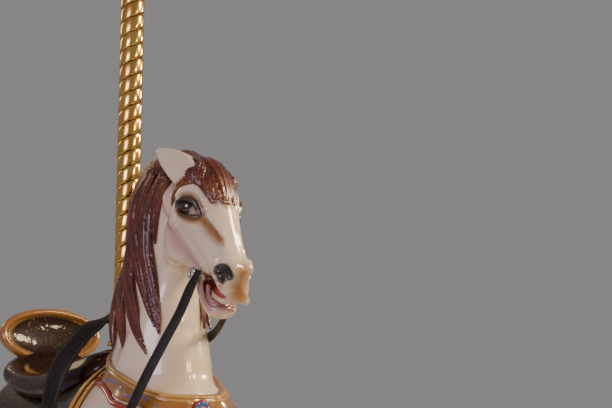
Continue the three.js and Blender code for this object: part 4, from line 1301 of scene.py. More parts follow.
def body_features():
    """Muscles on both sides of the trunk."""
    return [
        swell((285, 135, 1000), (62, 60, 105), 9, 0.35),
        swell((372, 52, 985), (45, 40, 72), 10),
        ridge([[400, 0, 1060, 12], [408, 0, 990, 13], [394, 0, 905, 14], [360, 0, 850, 14]], -8),
        swell((178, 150, 900), (40, 60, 80), -6, 0.3),
        swell((210, 140, 810), (60, 60, 36), 6),
        swell((-330, 160, 905), (54, 60, 92), -11, -0.3),
        swell((-500, 130, 1030), (105, 80, 90), 9),
        swell((-405, 150, 820), (48, 60, 52), 9),
        swell((-600, 95, 960), (50, 60, 92), 8),
        ridge([[-668, 0, 1000, 15], [-655, 0, 900, 17], [-610, 0, 840, 17]], -10),
        ridge([[-420, 0, 1160, 16], [-520, 0, 1160, 16], [-610, 0, 1125, 14]], -4),
        ridge([[-120, 176, 940, 20], [-60, 176, 860, 20], [20, 150, 780, 20]], 2.5),
        ridge([[-200, 172, 950, 18], [-150, 172, 860, 18], [-80, 140, 775, 18]], 2.5),
        swell((-60, 0, 725), (260, 60, 20), 3),
    ]


def body_masks(points):
    joints = np.zeros(len(points))
    for places in LEG_PLACES.values():
        for k, size in ((2, 46), (4, 38), (6, 40)):
            gap = np.linalg.norm(points - places[k], axis=1)
            joints = np.maximum(joints, np.clip(1.15 - gap / size, 0, 1))
    side = mirrored(points)
    # Painted shade in the hollows behind the elbows and in front of the hind legs.
    folds = [[[200, 165, 860, 40], [180, 160, 940, 30]], [[-350, 165, 870, 44], [-330, 165, 960, 34]]]
    return {
        "ochre": strongest(0.55 * joints, painted(side, folds, 0.35)),
        # Painted shade: a darker, warmer cream under the belly and on the legs' inner faces, deeper lower
        # down.
        "warm": 0.6 * np.clip((860 - points[:, 2]) / 160, 0, 1) * (np.abs(points[:, 1]) < 70),
        **unpainted(points, "dark", "gum", "mauve", "hair"),
    }


def build_body(paint):
    field = body_field()
    own = [feature for name, places in LEG_PLACES.items() for feature in leg_features(name, places)]
    skin = Skin(field, body_features(), own)

    def keep(centers):
        return (above_seam(centers) < 4) & clear_of_spigot(centers)

    def is_leg(centers):
        return centers[:, 2] < 720

    points, triangles = extract(skin, 6.5, keep, [is_leg])
    finish_piece(
        "horse_body", points, triangles, paint, "cream_paint", ["body", *LEG_PLACES],
        masks=body_masks(points), normals=outward(skin, points),
    )
    return skin


def hoof_paint():
    """Dark brown enamel with growth rings round the hoof and a steel shoe below."""
    made, tree, shader = new_material("hoof_enamel")
    down = attribute(tree, "down")
    rings = math_node(tree, "SINE", math_node(tree, "MULTIPLY", down, 75.0))
    horn = layered(tree, (0.10, 0.055, 0.03), (remap(tree, rings, -1.0, 1.0), (0.15, 0.085, 0.045)))
    colour = layered(
        tree, (0.45, 0.20, 0.05),
        (remap(tree, down, 0.0, 0.22), horn),
        (attribute(tree, "shoe"), (0.42, 0.42, 0.43)),
    )
    gloss(tree, shader, colour, 0.25, coat=0.8)
    bump(tree, shader, rings, 0.0006, 0.3)
    return made


HOOF_HEIGHT = 52


def build_hooves():
    paint = hoof_paint()
    # Each row of the wall: share of the height, radius, share of a steel shoe.
    wall = [
        [0.00, 24, 0], [0.01, 30.5, 0], [0.05, 33.5, 0], [0.10, 34, 0], [0.15, 32.5, 0], [0.20, 32, 0],
        [0.35, 34.5, 0], [0.50, 37, 0], [0.65, 39.8, 0], [0.80, 42.5, 0], [0.86, 43.6, 0], [0.875, 44.6, 1],
        [0.91, 45, 1], [0.98, 45, 1], [1.00, 44, 1], [1.00, 31, 1], [0.95, 30, 0], [0.93, 12, 0],
    ]
    turn = np.arange(56) * 2 * math.pi / 56
    for name, places in LEG_PLACES.items():
        tip, before = np.array(places[-1], float), np.array(places[-2], float)
        down = (tip - before) / np.linalg.norm(tip - before)
        side = np.array([0, 1.0, 0]) - down[1] * down
        side /= np.linalg.norm(side)
        fore = np.cross(side, down)
        fore = -fore if fore[0] < 0 else fore
        rings, masks = [], {"down": [], "shoe": []}
        for share, radius, shoe in wall:
            heel = 1 - 0.10 * np.clip(-np.cos(turn), 0, 1) * share
            ring = tip + down * (HOOF_HEIGHT * share + 0.3) + np.outer(np.cos(turn) * radius * heel, fore)
            ring = ring + np.outer(np.sin(turn) * radius * 0.92, side)
            rings.append(ring)
            masks["down"] += [share] * len(turn)
            masks["shoe"] += [shoe] * len(turn)
        points, faces = loft(np.array(rings))
        # The middles of the two end fans.
        masks["down"] += [0, 1]
        masks["shoe"] += [0, 0]
        hoof = name.replace("leg", "hoof")
        finish_piece(f"{hoof}_carved", points, faces, paint, "hoof_paint", [hoof], masks=masks)


# Pole and metal fittings

POLE_FOOT_Z = 280
POLE_TOP_Z = 2300
SADDLE_TOP_Z = 1204
BELLY_Z = 732
SLEEVE_LOW_Z = POLE_FOOT_Z + 30.3
CORE_TUBE = {"inner": 19.5, "outer": 26}
SPIGOT = {"radius": 16, "low": 4.3, "top": 1000}
TWIST_LEAD = 80.0
TWIST_STARTS = 2
# Radii over one band of the twist, from one groove to the next.
TWIST_BAND = [
    [0.00, 27.6], [0.03, 28.4], [0.06, 29.8], [0.12, 30.7], [0.25, 31.2], [0.40, 31.5], [0.50, 31.5],
    [0.60, 31.5], [0.75, 31.2], [0.88, 30.7], [0.94, 29.8], [0.97, 28.4],
]


def brass_paint():
    """Polished brass, tarnished brown in the grooves and mottled on the bands."""
    made, tree, shader = new_material("pole_brass")
    stain = remap(tree, noise(tree, 14.0, 5.0, 0.6), 0.35, 0.75)
    grime = attribute(tree, "grime")
    colour = layered(tree, (0.95, 0.60, 0.17), (stain, (0.70, 0.38, 0.09)), (grime, (0.06, 0.032, 0.012)))
    dull = math_node(tree, "MULTIPLY", grime, 0.4)
    rough = math_node(tree, "ADD", remap(tree, stain, 0.0, 1.0, 0.13, 0.26), dull)
    gloss(tree, shader, colour, rough, metallic=1.0)
    bump(tree, shader, noise(tree, 45.0, 3.0), 0.002, 0.25)
    return made


def metal_paint(name, colour, roughness):
    """Plain metal with faint scratches and stains."""
    made, tree, shader = new_material(name)
    stain = remap(tree, noise(tree, 30.0, 5.0, 0.65), 0.35, 0.75)
    rough = remap(tree, stain, 0.0, 1.0, roughness, roughness + 0.15)
    gloss(tree, shader, layered(tree, colour, (stain, dimmed(colour, 0.8))), rough, metallic=1.0)
    bump(tree, shader, noise(tree, 300.0, 2.0), 0.0004, 0.3)
    return made


def build_pole(brass):
    low, high = SLEEVE_LOW_Z, POLE_TOP_Z
    columns, band = 56, TWIST_LEAD / TWIST_STARTS
    bands = int((high - low + 2 * TWIST_LEAD) / band) + 2
    turn = np.arange(columns) * 2 * math.pi / columns
    rows = [[low - TWIST_LEAD - band + (n + f) * band, r] for n in range(bands) for f, r in TWIST_BAND]
    rows = np.array(rows)
    z = rows[:, :1] + TWIST_LEAD * turn / (2 * math.pi)
    radius = rows[:, 1:]
    points = np.stack([radius * np.cos(turn), radius * np.sin(turn), z], -1).reshape(-1, 3)
    shift = TWIST_STARTS * len(TWIST_BAND)
    r = np.arange(len(rows) - 1 - shift)[:, None]
    c = np.arange(columns)[None, :]
    lift = np.where(c == columns - 1, shift, 0)
    after = (c + 1) % columns
    here, beside = r * columns + c, (r + lift) * columns + after
    quads = [here, beside, beside + columns, here + columns]
    faces = np.stack([q + 0 * (r + c) for q in quads], -1).reshape(-1, 4)
    grime = np.clip((29.9 - np.repeat(rows[:, 1], columns)) / 1.6, 0, 1)
    core = np.array([0, 0, (low + high) / 2])
    piece = finish_piece(
        "twisted_sleeve", points, faces, brass, "pole_brass", ["brass_sleeve"],
        masks={"grime": grime}, core=core,
    )
    mesh = bmesh.new()
    mesh.from_mesh(piece.data)
    for height, up in ((low, -1), (high, 1)):
        everything = mesh.verts[:] + mesh.edges[:] + mesh.faces[:]
        cut = bmesh.ops.bisect_plane(
            mesh, geom=everything, plane_co=(0, 0, height * MM), plane_no=(0, 0, up), clear_outer=True
        )
        edges = [e for e in cut["geom_cut"] if isinstance(e, bmesh.types.BMEdge)]
        bmesh.ops.contextual_create(mesh, geom=edges)
    bmesh.ops.delete(mesh, geom=[v for v in mesh.verts if not v.link_faces], context="VERTS")
    mesh.to_mesh(piece.data)
    mesh.free()


def build_fittings(brass):
    bore = POLE_RADIUS + 0.6
    upper = [[bore, 0], [43, 0], [43, 5], [41.5, 7], [41.5, 12], [38, 15], [36.5, 18], [36.5, 22], [bore, 22]]
    lower = [[bore, 30], [43, 30], [43, 16], [40, 13], [40, 8], [37, 4], [36, 0], [bore, 0]]
    foot = [[16.8, 0], [33, 0], [36.7, 4], [37, 8], [37, 22], [35, 26], [31, 29.7], [16.8, 29.7]]
    for name, profile, base, node_name in (
        ("saddle_collar", upper, SADDLE_TOP_Z, "saddle_ferrule"),
        ("belly_collar", lower, BELLY_Z - 22, "belly_ferrule"),
        ("foot_collar", foot, POLE_FOOT_Z, "foot_ferrule"),
    ):
        rounded = round_corners(profile + profile[:1], 1.6)[:-1]
        points, faces = lathe(rounded, 64, center=(0, 0, base), ring=True)
        finish_piece(name, points, faces, brass, "pole_brass", [node_name], masks=unpainted(points, "grime"))


def rounded_box(points, center, half, edge):
    """Distance to a box with rounded edges."""
    d = np.abs(points - center) - np.array(half) + edge
    return np.linalg.norm(np.maximum(d, 0), axis=1) + np.minimum(d.max(1), 0) - edge


def disc(points, center, radius, half, edge, axis=2):
    """Distance to a flat round disc with rounded edges, turned about one axis."""
    d = points - center
    flat = [k for k in range(3) if k != axis]
    around = np.hypot(d[:, flat[0]], d[:, flat[1]]) - radius + edge
    deep = np.abs(d[:, axis]) - half + edge
    outside = np.hypot(np.maximum(around, 0), np.maximum(deep, 0))
    return outside + np.minimum(np.maximum(around, deep), 0) - edge


def rod(points, x, y, radius):
    return np.hypot(points[:, 0] - x, points[:, 1] - y) - radius


def solid_piece(name, function, low, high, step, paint, slot, replaced, body="horse"):
    """A piece made from a distance function of points alone."""
    field = Field(low, high, step)
    field.fill(np.clip(function(field.places()), -FAR, FAR))
    points, triangles = field.surface()
    points = project(function, points)
    finish_piece(name, points, triangles, paint, slot, replaced, body, normals=outward(function, points))


FLANGE = {"radius": 105, "height": 16, "hub": 34, "hub_top": 62, "circle": 80, "bolt": 7}


def flange_shape(points):
    plate = disc(points, (0, 0, FLANGE["height"] / 2), FLANGE["radius"], FLANGE["height"] / 2, 2.5)
    hub = disc(points, (0, 0, FLANGE["hub_top"] / 2), FLANGE["hub"], FLANGE["hub_top"] / 2, 2.5)
    values = soft_min(plate, hub, 9)
    values = np.maximum(values, -points[:, 2])
    socket = np.maximum(rod(points, 0, 0, 16.3), 4 - points[:, 2])
    values = soft_max(values, -socket, 1.5)
    for k in range(4):
        turn = math.pi / 4 + k * math.pi / 2
        x, y = FLANGE["circle"] * math.cos(turn), FLANGE["circle"] * math.sin(turn)
        values = soft_max(values, -rod(points, x, y, FLANGE["bolt"]), 1.2)
    return values


EYE_Z = POLE_TOP_Z + 70.3


def hanger_shape(points):
    eye = disc(points, (0, 0, EYE_Z), 32, 13, 5, axis=1)
    lug = rounded_box(points, np.array([0, 0, EYE_Z - 35]), (25.6, 13, 35), 4)
    base = disc(points, (0, 0, POLE_TOP_Z + 14.3), POLE_RADIUS, 14, 2)
    values = soft_min(soft_min(eye, lug, 8), base, 6)
    d = points - np.array([0, 0, EYE_Z])
    return soft_max(values, 15 - np.hypot(d[:, 0], d[:, 2]), 2)


def build_metal():
    painted_steel = metal_paint("painted_steel", (0.20, 0.20, 0.21), 0.42)
    bare_steel = metal_paint("bare_steel", (0.52, 0.51, 0.49), 0.3)
    solid_piece(
        "flange_plate", flange_shape, (-110, -110, -4), (110, 110, 68), 2.8,
        painted_steel, "painted_steel", ["floor_flange"], "floor",
    )
    solid_piece(
        "hanger_lug", hanger_shape, (-38, -38, POLE_TOP_Z - 4), (38, 38, POLE_TOP_Z + 110), 2.0,
        painted_steel, "painted_steel", ["hanger_eye"],
    )
    radius, low, top = SPIGOT["radius"], SPIGOT["low"], SPIGOT["top"]
    foot = [[0.5, low], [radius - 1, low], [radius, low + 1]]
    tip = [[radius, top - 15], [radius - 3, top - 2], [radius - 5, top], [0.5, top]]
    points, faces = lathe(foot + tip, 48)
    finish_piece("spigot", points, faces, bare_steel, "bare_steel", ["spigot_rod"], "floor")
    inner, outer = CORE_TUBE["inner"], CORE_TUBE["outer"]
    walls = [[inner, SLEEVE_LOW_Z], [outer, SLEEVE_LOW_Z], [outer, POLE_TOP_Z], [inner, POLE_TOP_Z]]
    points, faces = lathe(walls, 48, ring=True)
    core = np.array([(inner + outer) / 2, 0, (SLEEVE_LOW_Z + POLE_TOP_Z) / 2])
    finish_piece("pole_tube", points, faces, bare_steel, "bare_steel", ["pole_core_tube"], core=core)


# Saddle, cloth, collar and straps

# Distances from a layer's edge that its rows of points lie at.
EDGE = np.array([0, 0.8, 1.8, 3.0, 4.5, 6.5, 8.5, 10.5, 12.5, 15.0, 18.0])


def spread(lengths, count):
    """Distances along lines of those lengths, close together near both ends, a row for each line."""
    lengths = np.asarray(lengths, float)[:, None]
    scale = np.minimum(1, lengths / (2.4 * EDGE[-1]))
    inner = EDGE[-1] * scale + np.linspace(0, 1, count)[None, 1:-1] * (lengths - 2 * EDGE[-1] * scale)
    return np.concatenate([EDGE * scale, inner, lengths - EDGE[::-1] * scale], 1)


# How far a ray looks for the skin.
REACH = 330.0


def drape(surface, centers, directions, lift):
    """Where rays from inside the horse pass the surface that lies a lift above its skin."""
    low, high = np.zeros(len(centers)), np.full(len(centers), REACH)
    for _ in range(15):
        middle = (low + high) / 2
        inside = surface(centers + directions * middle[:, None]) < lift
        low, high = np.where(inside, middle, low), np.where(inside, high, middle)
    return centers + directions * low[:, None]


def curve(rows, x):
    """Height at x of a smooth edge line given as [x, z] rows."""
    fine = smooth(rows, 6)
    order = np.argsort(fine[:, 0])
    return np.interp(x, fine[order, 0], fine[order, 1])


def rolled(distance, thick, bead_at=0.0, bead_high=0.0, bead_wide=3.5):
    """Height of a layer's face at a distance from its edge: tucked in there, then round, with a bead."""
    share = np.clip(distance / min(thick, 5.0), 0, 1)
    face = -1.5 + (thick + 1.5) * np.sqrt(1 - (1 - share) ** 2)
    return face + bead_high * np.exp(-(((distance - bead_at) / bead_wide) ** 2))


def saddle_paint():
    """Very glossy dark enamel, with gold trim where the mask says and fine gold specks painted as glints."""
    made, tree, shader = new_material("saddle_enamel")
    colour = layered(
        tree, SADDLE_BROWN,
        (remap(tree, noise(tree, 7.0, 4.0), 0.3, 0.7), dimmed(SADDLE_BROWN, 0.5)),
        # Painted glints: gold specks for small glints of light on the gloss.
        (specks(tree, 110.0, 3.0, 0.62, 0.72, 0.5), (0.62, 0.33, 0.08)),
        (attribute(tree, "trim"), GOLD),
    )
    gloss(tree, shader, colour, 0.35, coat=0.5, specular=0.12)
    bump(tree, shader, noise(tree, 40.0, 2.0), 0.003, 0.4, coat=True)
    return made


SADDLE_BROWN = (0.028, 0.009, 0.005)
OCHRE = (0.24, 0.092, 0.016)
OCHRE_LIGHT = (0.36, 0.155, 0.027)
GOLD = (0.58, 0.31, 0.065)
RED = (0.42, 0.016, 0.012)
BLUE = (0.05, 0.12, 0.36)

CLOTH_LOW = [
    [78, 1060], [60, 935], [20, 885], [-60, 862], [-150, 858], [-250, 872], [-340, 902], [-430, 948],
    [-510, 985], [-566, 1016],
]
FLAP_LOW = [
    [64, 1100], [58, 1010], [40, 950], [4, 916], [-40, 906], [-90, 920], [-126, 955], [-150, 1030],
    [-162, 1104],
]
# Under the seat, and below the top of the back all the way.
FLAP_HIGH = [[64, 1168], [40, 1148], [0, 1130], [-100, 1116], [-162, 1112]]
TRUNK_Z = 950


def build_cloth(skin, paint):
    """The cloth over the back, from its low edge on one flank to that on the other."""
    front, rear = CLOTH_LOW[0][0], CLOTH_LOW[-1][0]
    xs = front - spread([front - rear], 110)[0]
    foot = np.array([side_point(skin.field, x, z) for x, z in zip(xs, curve(CLOTH_LOW, xs))])
    half = np.arctan2(foot[:, 1], foot[:, 2] - TRUNK_Z)
    size = np.hypot(foot[:, 1], foot[:, 2] - TRUNK_Z).mean()
    run = spread(2 * half * size, 120)
    angle = run / size - half[:, None]
    x = np.repeat(xs[:, None], run.shape[1], 1)
    ends = np.minimum(xs.max() - x, x - xs.min())
    edge = np.minimum(np.minimum(run, 2 * half[:, None] * size - run), ends).ravel()
    centers = np.stack([x, 0 * x, 0 * x + TRUNK_Z], -1).reshape(-1, 3)
    ways = np.stack([0 * angle, np.sin(angle), np.cos(angle)], -1).reshape(-1, 3)
    fringe = np.abs(np.sin(run.ravel() / 7.0 + x.ravel() / 7.0)) * np.exp(-(((edge - 9) / 5) ** 2))
    points = drape(skin, centers, ways, rolled(edge, 8.0, 18.0, 2.0) + fringe)
    masks = {"trim": np.clip((24 - edge) / 2, 0, 1) * np.clip(edge - 0.5, 0, 1)}
    faces = grid_faces(len(xs), run.shape[1])
    points, faces, masks = compact(points, faces[clear_of_spigot(points[faces].mean(1))], masks)
    core = np.array([-250, 0, TRUNK_Z])
    finish_piece("cloth", points, faces, paint, "saddle_paint", ["saddle_cloth"], masks=masks, core=core)


def build_flaps(skin, paint):
    """A layer on each flank between two edge lines, over the cloth."""
    front, rear = FLAP_LOW[0][0], FLAP_LOW[-1][0]
    xs = front - spread([front - rear], 40)[0]
    low, high = curve(FLAP_LOW, xs), curve(FLAP_HIGH, xs)
    up = spread(high - low, 60)
    x = np.repeat(xs[:, None], up.shape[1], 1)
    centers = np.stack([x, 0 * x, low[:, None] + up], -1).reshape(-1, 3)
    ends = np.minimum(x - xs.min(), xs.max() - x)
    edge = np.minimum(up, np.minimum((high - low)[:, None] - up, ends)).ravel()
    lift = 8.0 + rolled(edge, 8.5, 13.0, -1.6, 2.2)
    # The trim follows the low edge and both ends, and not the top.
    border = np.minimum(up, ends).ravel()
    masks = {"trim": np.clip((22 - border) / 2, 0, 1) * np.clip((border - 1) / 1.5, 0, 1)}
    core = np.array([-50, 0, 1050])
    for word, side in SIDES:
        points = drape(skin, centers, np.tile([0.0, side, 0.0], (len(centers), 1)), lift)
        faces = grid_faces(len(xs), up.shape[1])
        node_names = [f"saddle_flap_{word}"]
        finish_piece(f"flap_{word}", points, faces, paint, "saddle_paint", node_names, masks=masks, core=core)


# Places along the seat's roll and the painted groove inside it, on the left side.
SEAT_ROLL = [[40, 60, 1186], [-60, 118, 1158], [-200, 140, 1130], [-340, 142, 1130], [-450, 118, 1150]]
SEAT_GROOVE = [[34, 40, 1190], [-70, 96, 1170], [-210, 118, 1146], [-340, 118, 1146], [-440, 90, 1172]]


def build_seat(paint):
    """The moulded seat, dished for the rider, with a roll along each side."""
    field = Field((-560, -190, 1030), (90, 190, 1240), 4.0)
    field.values = node_values(field, "saddle_seat", 9)
    skin = Skin(field, [
        swell((-230, 0, 1172), (130, 90, 30), -9),
        ridge([[*place, 12] for place in SEAT_ROLL], 5),
        ridge([[*place, 7] for place in SEAT_GROOVE], -4),
        swell((22, 0, 1204), (34, 60, 26), 6),
    ])
    points, triangles = extract(skin, 5.5)
    masks = {"trim": painted(mirrored(points), [[[*place, 9] for place in SEAT_GROOVE]], 0.85)}
    finish_piece(
        "seat", points, triangles, paint, "saddle_paint", ["saddle_seat"],
        masks=masks, normals=outward(skin, points),
    )


CANTLE = {"center": (-492, 0, 1246), "half": 141.0, "tall": 71.0, "lean": -0.28, "roll": 11.5}
# Rows over the front and over the back: share of the way from the middle, and how far the face stands out.
CANTLE_FACE = [
    [0.02, -1], [0.15, -0.9], [0.30, 0.2], [0.45, 1.5], [0.58, 3.4],
    [0.70, 6.0], [0.80, 9.0], [0.88, 12.4], [0.95, 16.0],
]
CANTLE_BACK = [
    [1.0, 10], [1.0, 2], [0.97, -6], [0.88, -14], [0.70, -21], [0.45, -26], [0.20, -28.5], [0.02, -29],
]


def build_cantle(paint, rim_paint):
    """The dished back rest, with its rolled rim. The rim dips at the middle of the bottom."""
    sin, cos = math.sin(CANTLE["lean"]), math.cos(CANTLE["lean"])
    out, up = np.array([cos, 0, -sin]), np.array([sin, 0, cos])
    columns, corners = 120, 28
    turn = np.arange(columns) * 2 * math.pi / columns
    dip = 1 - 0.10 * np.exp(-(((turn - 1.5 * math.pi) / 0.30) ** 2))
    across = np.outer(np.cos(turn) * CANTLE["half"] * dip, [0, 1, 0])
    edge = across + np.outer(np.sin(turn) * CANTLE["tall"] * dip, up)
    rows = np.array(CANTLE_FACE + CANTLE_BACK)
    points, faces = loft(np.array([CANTLE["center"] + edge * share + out * stand for share, stand in rows]))
    share, stand = np.repeat(rows, columns, 0).T
    trim = np.exp(-(((share - 0.86) / 0.022) ** 2)) * (stand > 0)
    masks = {"trim": np.concatenate([trim, [0, 0]])}
    finish_piece("backrest", points, faces, paint, "saddle_paint", ["cantle"], masks=masks)
    path = CANTLE["center"] + edge + out * 8.0
    around = (np.arange(corners) * 2 * math.pi / corners)[None, :, None]
    away = np.outer(np.cos(turn), [0, 1, 0]) + np.outer(np.sin(turn), up)
    points = path[:, None] + CANTLE["roll"] * (np.cos(around) * away[:, None] + 1.25 * np.sin(around) * out)
    points, faces = points.reshape(-1, 3), ring_faces(columns, corners)
    masks = unpainted(points, "trim", "blue", "red")
    finish_piece("backrest_roll", points, faces, rim_paint, "ochre_paint", ["cantle_rim"], masks=masks)


def ochre_paint():
    """Ochre enamel shading to orange, with gold beads and thin blue scrolls where the masks say."""
    made, tree, shader = new_material("ochre_enamel")
    colour = layered(
        tree, OCHRE,
        (remap(tree, noise(tree, 9.0, 4.0), 0.3, 0.7), OCHRE_LIGHT),
        (attribute(tree, "trim"), GOLD),
        (attribute(tree, "red"), RED),
        (attribute(tree, "blue"), BLUE),
        (specks(tree, 220.0, 2.0, 0.66, 0.74, 0.3), (0.85, 0.6, 0.3)),
    )
    gloss(tree, shader, colour, 0.2, coat=1.0)
    bump(tree, shader, noise(tree, 90.0, 2.0), 0.0010, 0.3, coat=True)
    return made


COLLAR_HIGH = [
    [40, 1204], [88, 1190], [134, 1168], [190, 1148], [243, 1131], [306, 1109], [341, 1098], [371, 1088],
    [420, 1078],
]
COLLAR_LOW = [
    [60, 1136], [79, 1128], [112, 1120], [160, 1108], [200, 1092], [236, 1075], [281, 1064], [324, 1054],
    [360, 1030], [392, 1012], [420, 1006],
]
# The collar is draped on rays from this x, as far back as this turn to each side and this other x.
COLLAR_AXIS = 150.0
COLLAR_END_TURN = 2.62
COLLAR_START_X = 62.0
BORDER_WIDTH = 15.0
# Length of one painted scroll.
SCROLL = 118.0


def round_chest(skin, columns, across, lift, edges):
    """A band draped round the chest. across gives the shares from the low to the high edge of each column."""
    angle = np.linspace(-COLLAR_END_TURN, COLLAR_END_TURN, columns)
    way = np.stack([np.cos(angle), np.sin(angle), 0 * angle], -1)
    x = np.full(columns, 250.0)
    for _ in range(12):
        low, high = edges(x)
        middle = np.stack([np.full(columns, COLLAR_AXIS), 0 * x, (low + high) / 2], -1)
        there = drape(skin, middle, way, np.zeros(columns))
        x = 0.5 * x + 0.5 * there[:, 0]
    x = np.maximum(x, COLLAR_START_X)
    low, high = edges(x)
    z = low[:, None] + (high - low)[:, None] * across[None, :]
    centers = np.stack([np.full(z.shape, COLLAR_AXIS), 0 * z, z], -1).reshape(-1, 3)
    ways = np.repeat(way, len(across), 0)
    wide = np.repeat(high - low, len(across)).reshape(z.shape)
    up = wide * across
    run = np.concatenate([[0], np.cumsum(np.linalg.norm(np.diff(there, axis=0), axis=1))])
    along = np.repeat(run[:, None], len(across), 1)
    ends = np.minimum(along, run[-1] - along)
    along -= run[-1] / 2
    points = drape(skin, centers, ways, lift(up, wide, along, ends).ravel())
    return points, grid_faces(columns, len(across)), up, wide, along


def scrolls(along, up, wide):
    """How far a place on the collar is from its painted lines, each a long wave with a dot at its end."""
    share = np.abs(along) / SCROLL + 0.12
    wave = wide * (0.40 + 0.12 * np.sin(2 * math.pi * share))
    past = np.maximum(np.abs(share % 1 - 0.5) - 0.34, 0) * SCROLL
    line = np.hypot(up - wave, past)
    dot = np.hypot((share % 1 - 0.03) * SCROLL, up - 0.42 * wide) - 2.5
    return np.minimum(line, np.maximum(dot, 0))


def build_collar(skin, paint, red):
    """The collar, with two beads at its top and a fan at its middle, and the red border below it."""
    def edges(x):
        return curve(COLLAR_LOW, x), curve(COLLAR_HIGH, x)

    def beads(top, first, second):
        return np.exp(-(((top - 6) / first) ** 2)), np.exp(-(((top - 15) / second) ** 2))

    def lift(up, wide, along, ends):
        edge = np.minimum(np.minimum(up, wide - up), ends)
        high, low = beads(wide - up, 2.6, 2.2)
        fan = np.clip(1 - np.abs(along) / 70, 0, 1)
        folds = 1.6 * fan * np.abs(np.sin(np.arctan2(along, up + 12) * 9)) * np.clip(edge / 8, 0, 1)
        lines = 0.8 * np.exp(-((scrolls(along, up, wide) / 1.8) ** 2)) * (1 - fan)
        return rolled(edge, 8.0) + 2.2 * high + 1.8 * low + folds + lines

    border, middle, beaded = [0, 0.015, 0.035, 0.06], np.linspace(0.09, 0.62, 26), np.linspace(0.64, 0.95, 24)
    across = np.concatenate([border, middle, beaded, [0.965, 0.98, 0.99, 1.0]])
    points, faces, up, wide, along = round_chest(skin, 300, across, lift, edges)
    top = wide - up
    blue = np.exp(-((scrolls(along, up, wide) / 2.2) ** 4)) * (np.abs(along) > 44) * (top > 20)
    trim = np.clip(sum(beads(top, 3.0, 2.6)), 0, 1)
    masks = {"trim": trim.ravel(), "blue": blue.ravel(), **unpainted(points, "red")}
    core = np.array([COLLAR_AXIS, 0, 1080])
    finish_piece(
        "chest_collar", points, faces, paint, "ochre_paint", ["breast_collar"], masks=masks, core=core
    )

    def border_edges(x):
        low = curve(COLLAR_LOW, x)
        return low - BORDER_WIDTH, low + 1.0

    def border_lift(up, wide, along, ends):
        return -1.5 + 11.5 * np.sqrt(np.clip(1 - (2 * up / wide - 1) ** 2, 0, 1)) * np.clip(ends / 4, 0, 1)

    across = 0.5 - 0.5 * np.cos(np.linspace(0, math.pi, 15))
    points, faces, *_ = round_chest(skin, 260, across, border_lift, border_edges)
    masks = unpainted(points, "blue", "gold")
    finish_piece("chest_border", points, faces, red, "red_paint", ["collar_border"], masks=masks, core=core)


def red_paint():
    """Red enamel, with blue petals and a gold button on the rosette."""
    made, tree, shader = new_material("red_enamel")
    colour = layered(
        tree, RED,
        (remap(tree, noise(tree, 12.0, 4.0), 0.3, 0.7), dimmed(RED, 0.6)),
        (attribute(tree, "blue"), BLUE),
        (attribute(tree, "gold"), GOLD),
    )
    gloss(tree, shader, colour, 0.18, coat=1.0)
    bump(tree, shader, noise(tree, 90.0, 2.0), 0.0008, 0.3, coat=True)
    return made


ROSETTE = {"z": 1050, "face": 401, "radius": 22}
# Rows: share of the radius, how far the face stands out, share of blue and share of gold.
ROSETTE_ROWS = [
    [0.02, 8, 0, 1], [0.15, 7.6, 0, 1], [0.25, 5.8, 0, 1], [0.30, 3.0, 0, 0], [0.40, 3.6, 1, 0],
    [0.60, 5.0, 1, 0], [0.80, 4.6, 1, 0], [0.93, 2.6, 0, 0], [1.0, -1.0, 0, 0], [1.0, -8.0, 0, 0],
    [0.96, -14.0, 0, 0],
]


def build_rosette(red):
    """A flower of eight petals round a button, on the front of the collar."""
    turn = np.arange(96) * 2 * math.pi / 96
    gap = 1 - np.abs(np.cos(4 * turn)) ** 0.6
    rings = []
    for share, stand, _, _ in ROSETTE_ROWS:
        reach = ROSETTE["radius"] * share * (1 - 0.14 * gap * (share > 0.35))
        out = ROSETTE["face"] + stand - 2.6 * gap * (0.35 < share < 0.95)
        rings.append(np.stack([out, np.cos(turn) * reach, ROSETTE["z"] + np.sin(turn) * reach], -1))
    points, faces = loft(np.array(rings))
    blue, gold = (np.repeat([row[k] for row in ROSETTE_ROWS], len(turn)) for k in (2, 3))
    masks = {"blue": np.append(blue, [0, 0]), "gold": np.append(gold, [1, 0])}
    finish_piece("flower", points, faces, red, "red_paint", ["rosette"], masks=masks)


# The girth's middle, half its width, where its ends lie on the flanks and how far they slant back.
GIRTH = {"x": 68.0, "half": 22.0, "end": 930.0, "slant": 28.0}


def leather_paint():
    """Black leather, a little worn at the edges, with a row of stitches inside each edge."""
    made, tree, shader = new_material("black_leather")
    across = math_node(tree, "ABSOLUTE", attribute(tree, "across"))
    from_line = math_node(tree, "ABSOLUTE", math_node(tree, "SUBTRACT", across, 0.80))
    wave = math_node(tree, "SINE", math_node(tree, "MULTIPLY", attribute(tree, "run"), 1.4))
    stitch = math_node(tree, "MULTIPLY", remap(tree, from_line, 0.06, 0.02), remap(tree, wave, 0.1, 0.4))
    colour = layered(
        tree, (0.008, 0.006, 0.006),
        (remap(tree, noise(tree, 40.0, 4.0, 0.6), 0.45, 0.75), (0.022, 0.016, 0.014)),
        (math_node(tree, "MULTIPLY", remap(tree, across, 0.94, 1.0), 0.5), (0.09, 0.055, 0.035)),
        (math_node(tree, "MULTIPLY", stitch, 0.7), (0.16, 0.13, 0.10)),
    )
    gloss(tree, shader, colour, 0.5, specular=0.3)
    pores = node(tree, "ShaderNodeTexVoronoi", {"Vector": object_place(tree), "Scale": 650.0})
    grain = math_node(tree, "MULTIPLY", pores.outputs["Distance"], 0.5)
    bump(tree, shader, math_node(tree, "ADD", grain, stitch), 0.0006, 0.4)
    return made


